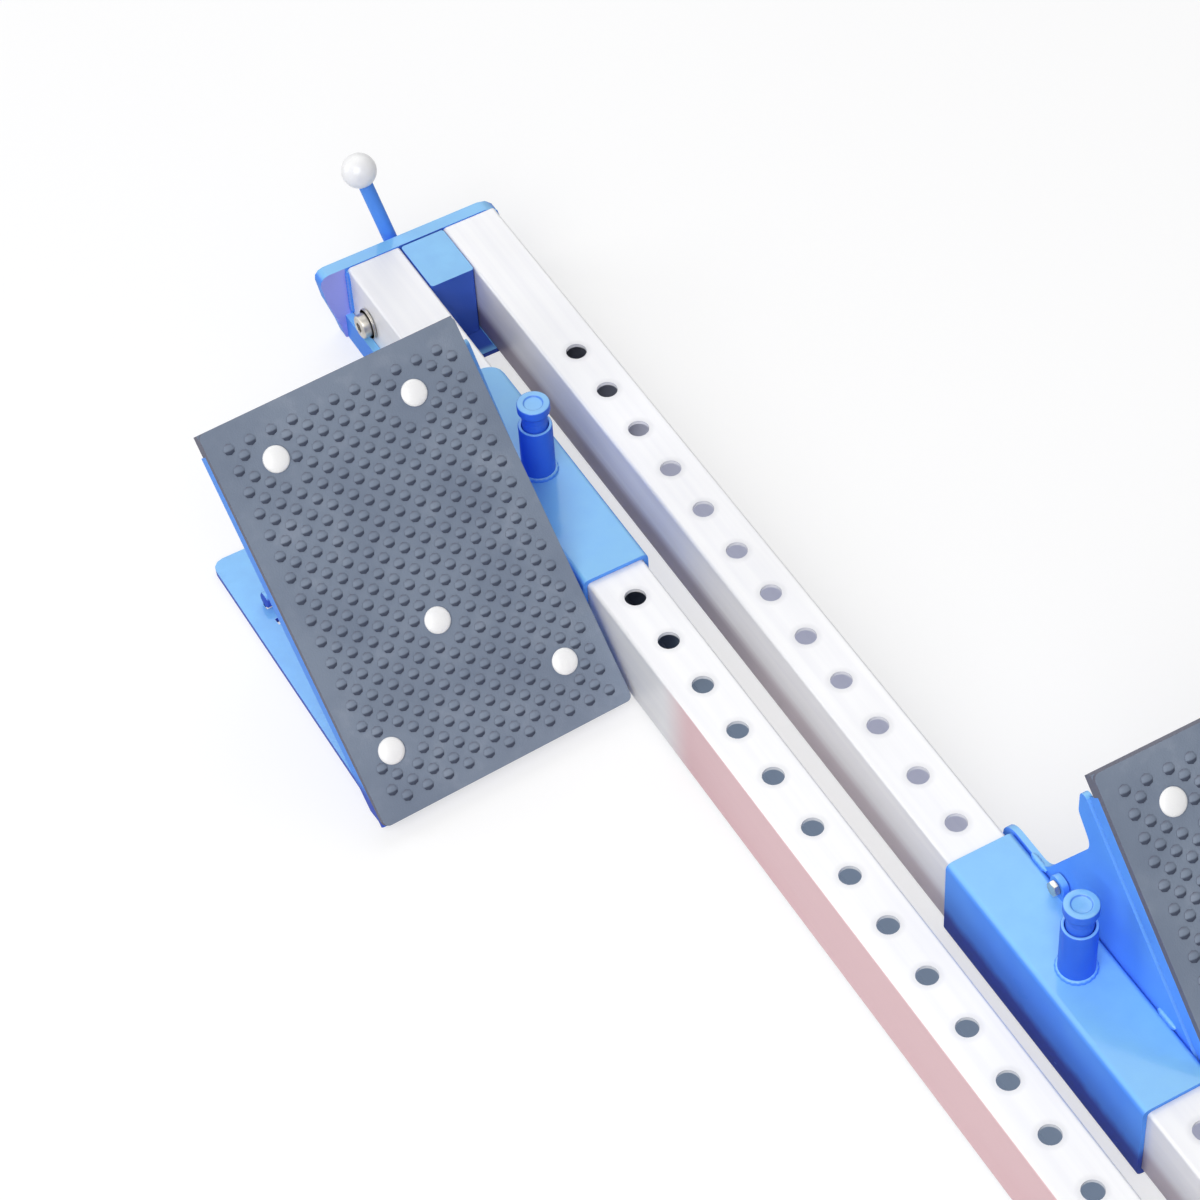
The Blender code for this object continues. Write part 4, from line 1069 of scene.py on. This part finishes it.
def studio_material():
    material = bpy.data.materials.new("studio_floor")
    material.use_nodes = True
    tree = material.node_tree
    glow = light_path(tree, "Is Camera Ray") + light_path(tree, "Is Glossy Ray")
    glow.fill(tree.nodes["Principled BSDF"], {
        "Base Color": (0.45, 0.45, 0.455, 1),
        "Roughness": 0.9,
        "Specular IOR Level": 0.0,
        "Emission Color": (1, 1, 1, 1),
        "Emission Strength": glow * FLOOR_GLOW,
    })
    return material


floor_shape = bmesh.new()
bmesh.ops.create_grid(floor_shape, x_segments=1, y_segments=1, size=6)
moved(floor_shape, shift(0, 0, -0.1 * MM))
floor_mesh = bpy.data.meshes.new("floor")
floor_shape.to_mesh(floor_mesh)
floor_shape.free()
floor_mesh.materials.append(studio_material())
floor = bpy.data.objects.new("floor", floor_mesh)
bpy.context.scene.collection.objects.link(floor)

# %% [markdown]
# The world is white to the camera and in reflections, and only a weak fill light otherwise.
# Soft boxes light the object: a large one behind the camera, a larger one beyond the object,
# whose reflection makes the tops pale, and a weaker one at the side. Each is turned to face
# the middle of the object.

# %% Set the world and the soft boxes
FILL = 0.2
SOFT_BOXES = {
    "front_box": {"place": (1.15, 1.04, 1.70), "size": 1.8, "watts": 40},
    "back_box": {"place": (-0.75, -1.45, 1.75), "size": 2.2, "watts": 18},
    "side_box": {"place": (1.9, -1.45, 0.75), "size": 1.2, "watts": 13},
}

world = bpy.data.worlds.new("studio")
bpy.context.scene.world = world
world.use_nodes = True
seen = light_path(world.node_tree, "Is Camera Ray")
for name in ("Is Glossy Ray", "Is Transmission Ray"):
    seen = seen.math("MAXIMUM", seen, light_path(world.node_tree, name))
seen.fill(world.node_tree.nodes["Background"], {
    "Color": (1, 1, 1, 1), "Strength": FILL + seen * (1 - FILL),
})

for name, box in SOFT_BOXES.items():
    lamp = bpy.data.lights.new(name, "AREA")
    lamp.shape = "SQUARE"
    lamp.size = box["size"]
    lamp.energy = box["watts"]
    place = Vector(box["place"])
    holder = bpy.data.objects.new(name, lamp)
    holder.location = place
    holder.rotation_euler = (-place).to_track_quat("-Z", "Y").to_euler()
    bpy.context.scene.collection.objects.link(holder)
    print(name, "is", round(place.length, 2), "m away")

# %% [markdown]
# The camera stands where the photo was taken from. Its place, its direction and its lens were
# worked out from the photo: eighteen holes and the edges of the rails lie on known planes, and
# that many known points leave only one camera that sees them so. Its axes are written down as
# two vectors, and squared up with cross products.

# %% Set the camera
CAMERA_PLACE = (0.5182, 0.8301, 1.2959)
CAMERA_RIGHT = Vector((-0.87014, 0.49031, -0.04954))
CAMERA_UP = Vector((-0.39968, -0.64332, 0.65299))
LENS = 110.18

camera_data = bpy.data.cameras.new("camera")
camera_data.sensor_width = 36
camera_data.lens = LENS
camera = bpy.data.objects.new("camera", camera_data)
back = CAMERA_RIGHT.cross(CAMERA_UP).normalized()
up = back.cross(CAMERA_RIGHT).normalized()
axes = Matrix((CAMERA_RIGHT.normalized(), up, back)).transposed().to_4x4()
camera.matrix_world = Matrix.Translation(CAMERA_PLACE) @ axes
bpy.context.scene.collection.objects.link(camera)
bpy.context.scene.camera = camera
bpy.context.scene.view_settings.view_transform = "Standard"
print("camera is", round(camera.location.length, 3), "m from the middle of the object")

# %% [markdown]
# ## Last checks
#
# Every CAD node has a dressed piece in its place by now, so the list of those that still show
# should be empty.

# %% List the CAD nodes that still show, and finish
shown = [name for name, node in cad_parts.items() if not node.hide_render]
print("CAD nodes that still show:", shown)
bpy.context.view_layer.update()
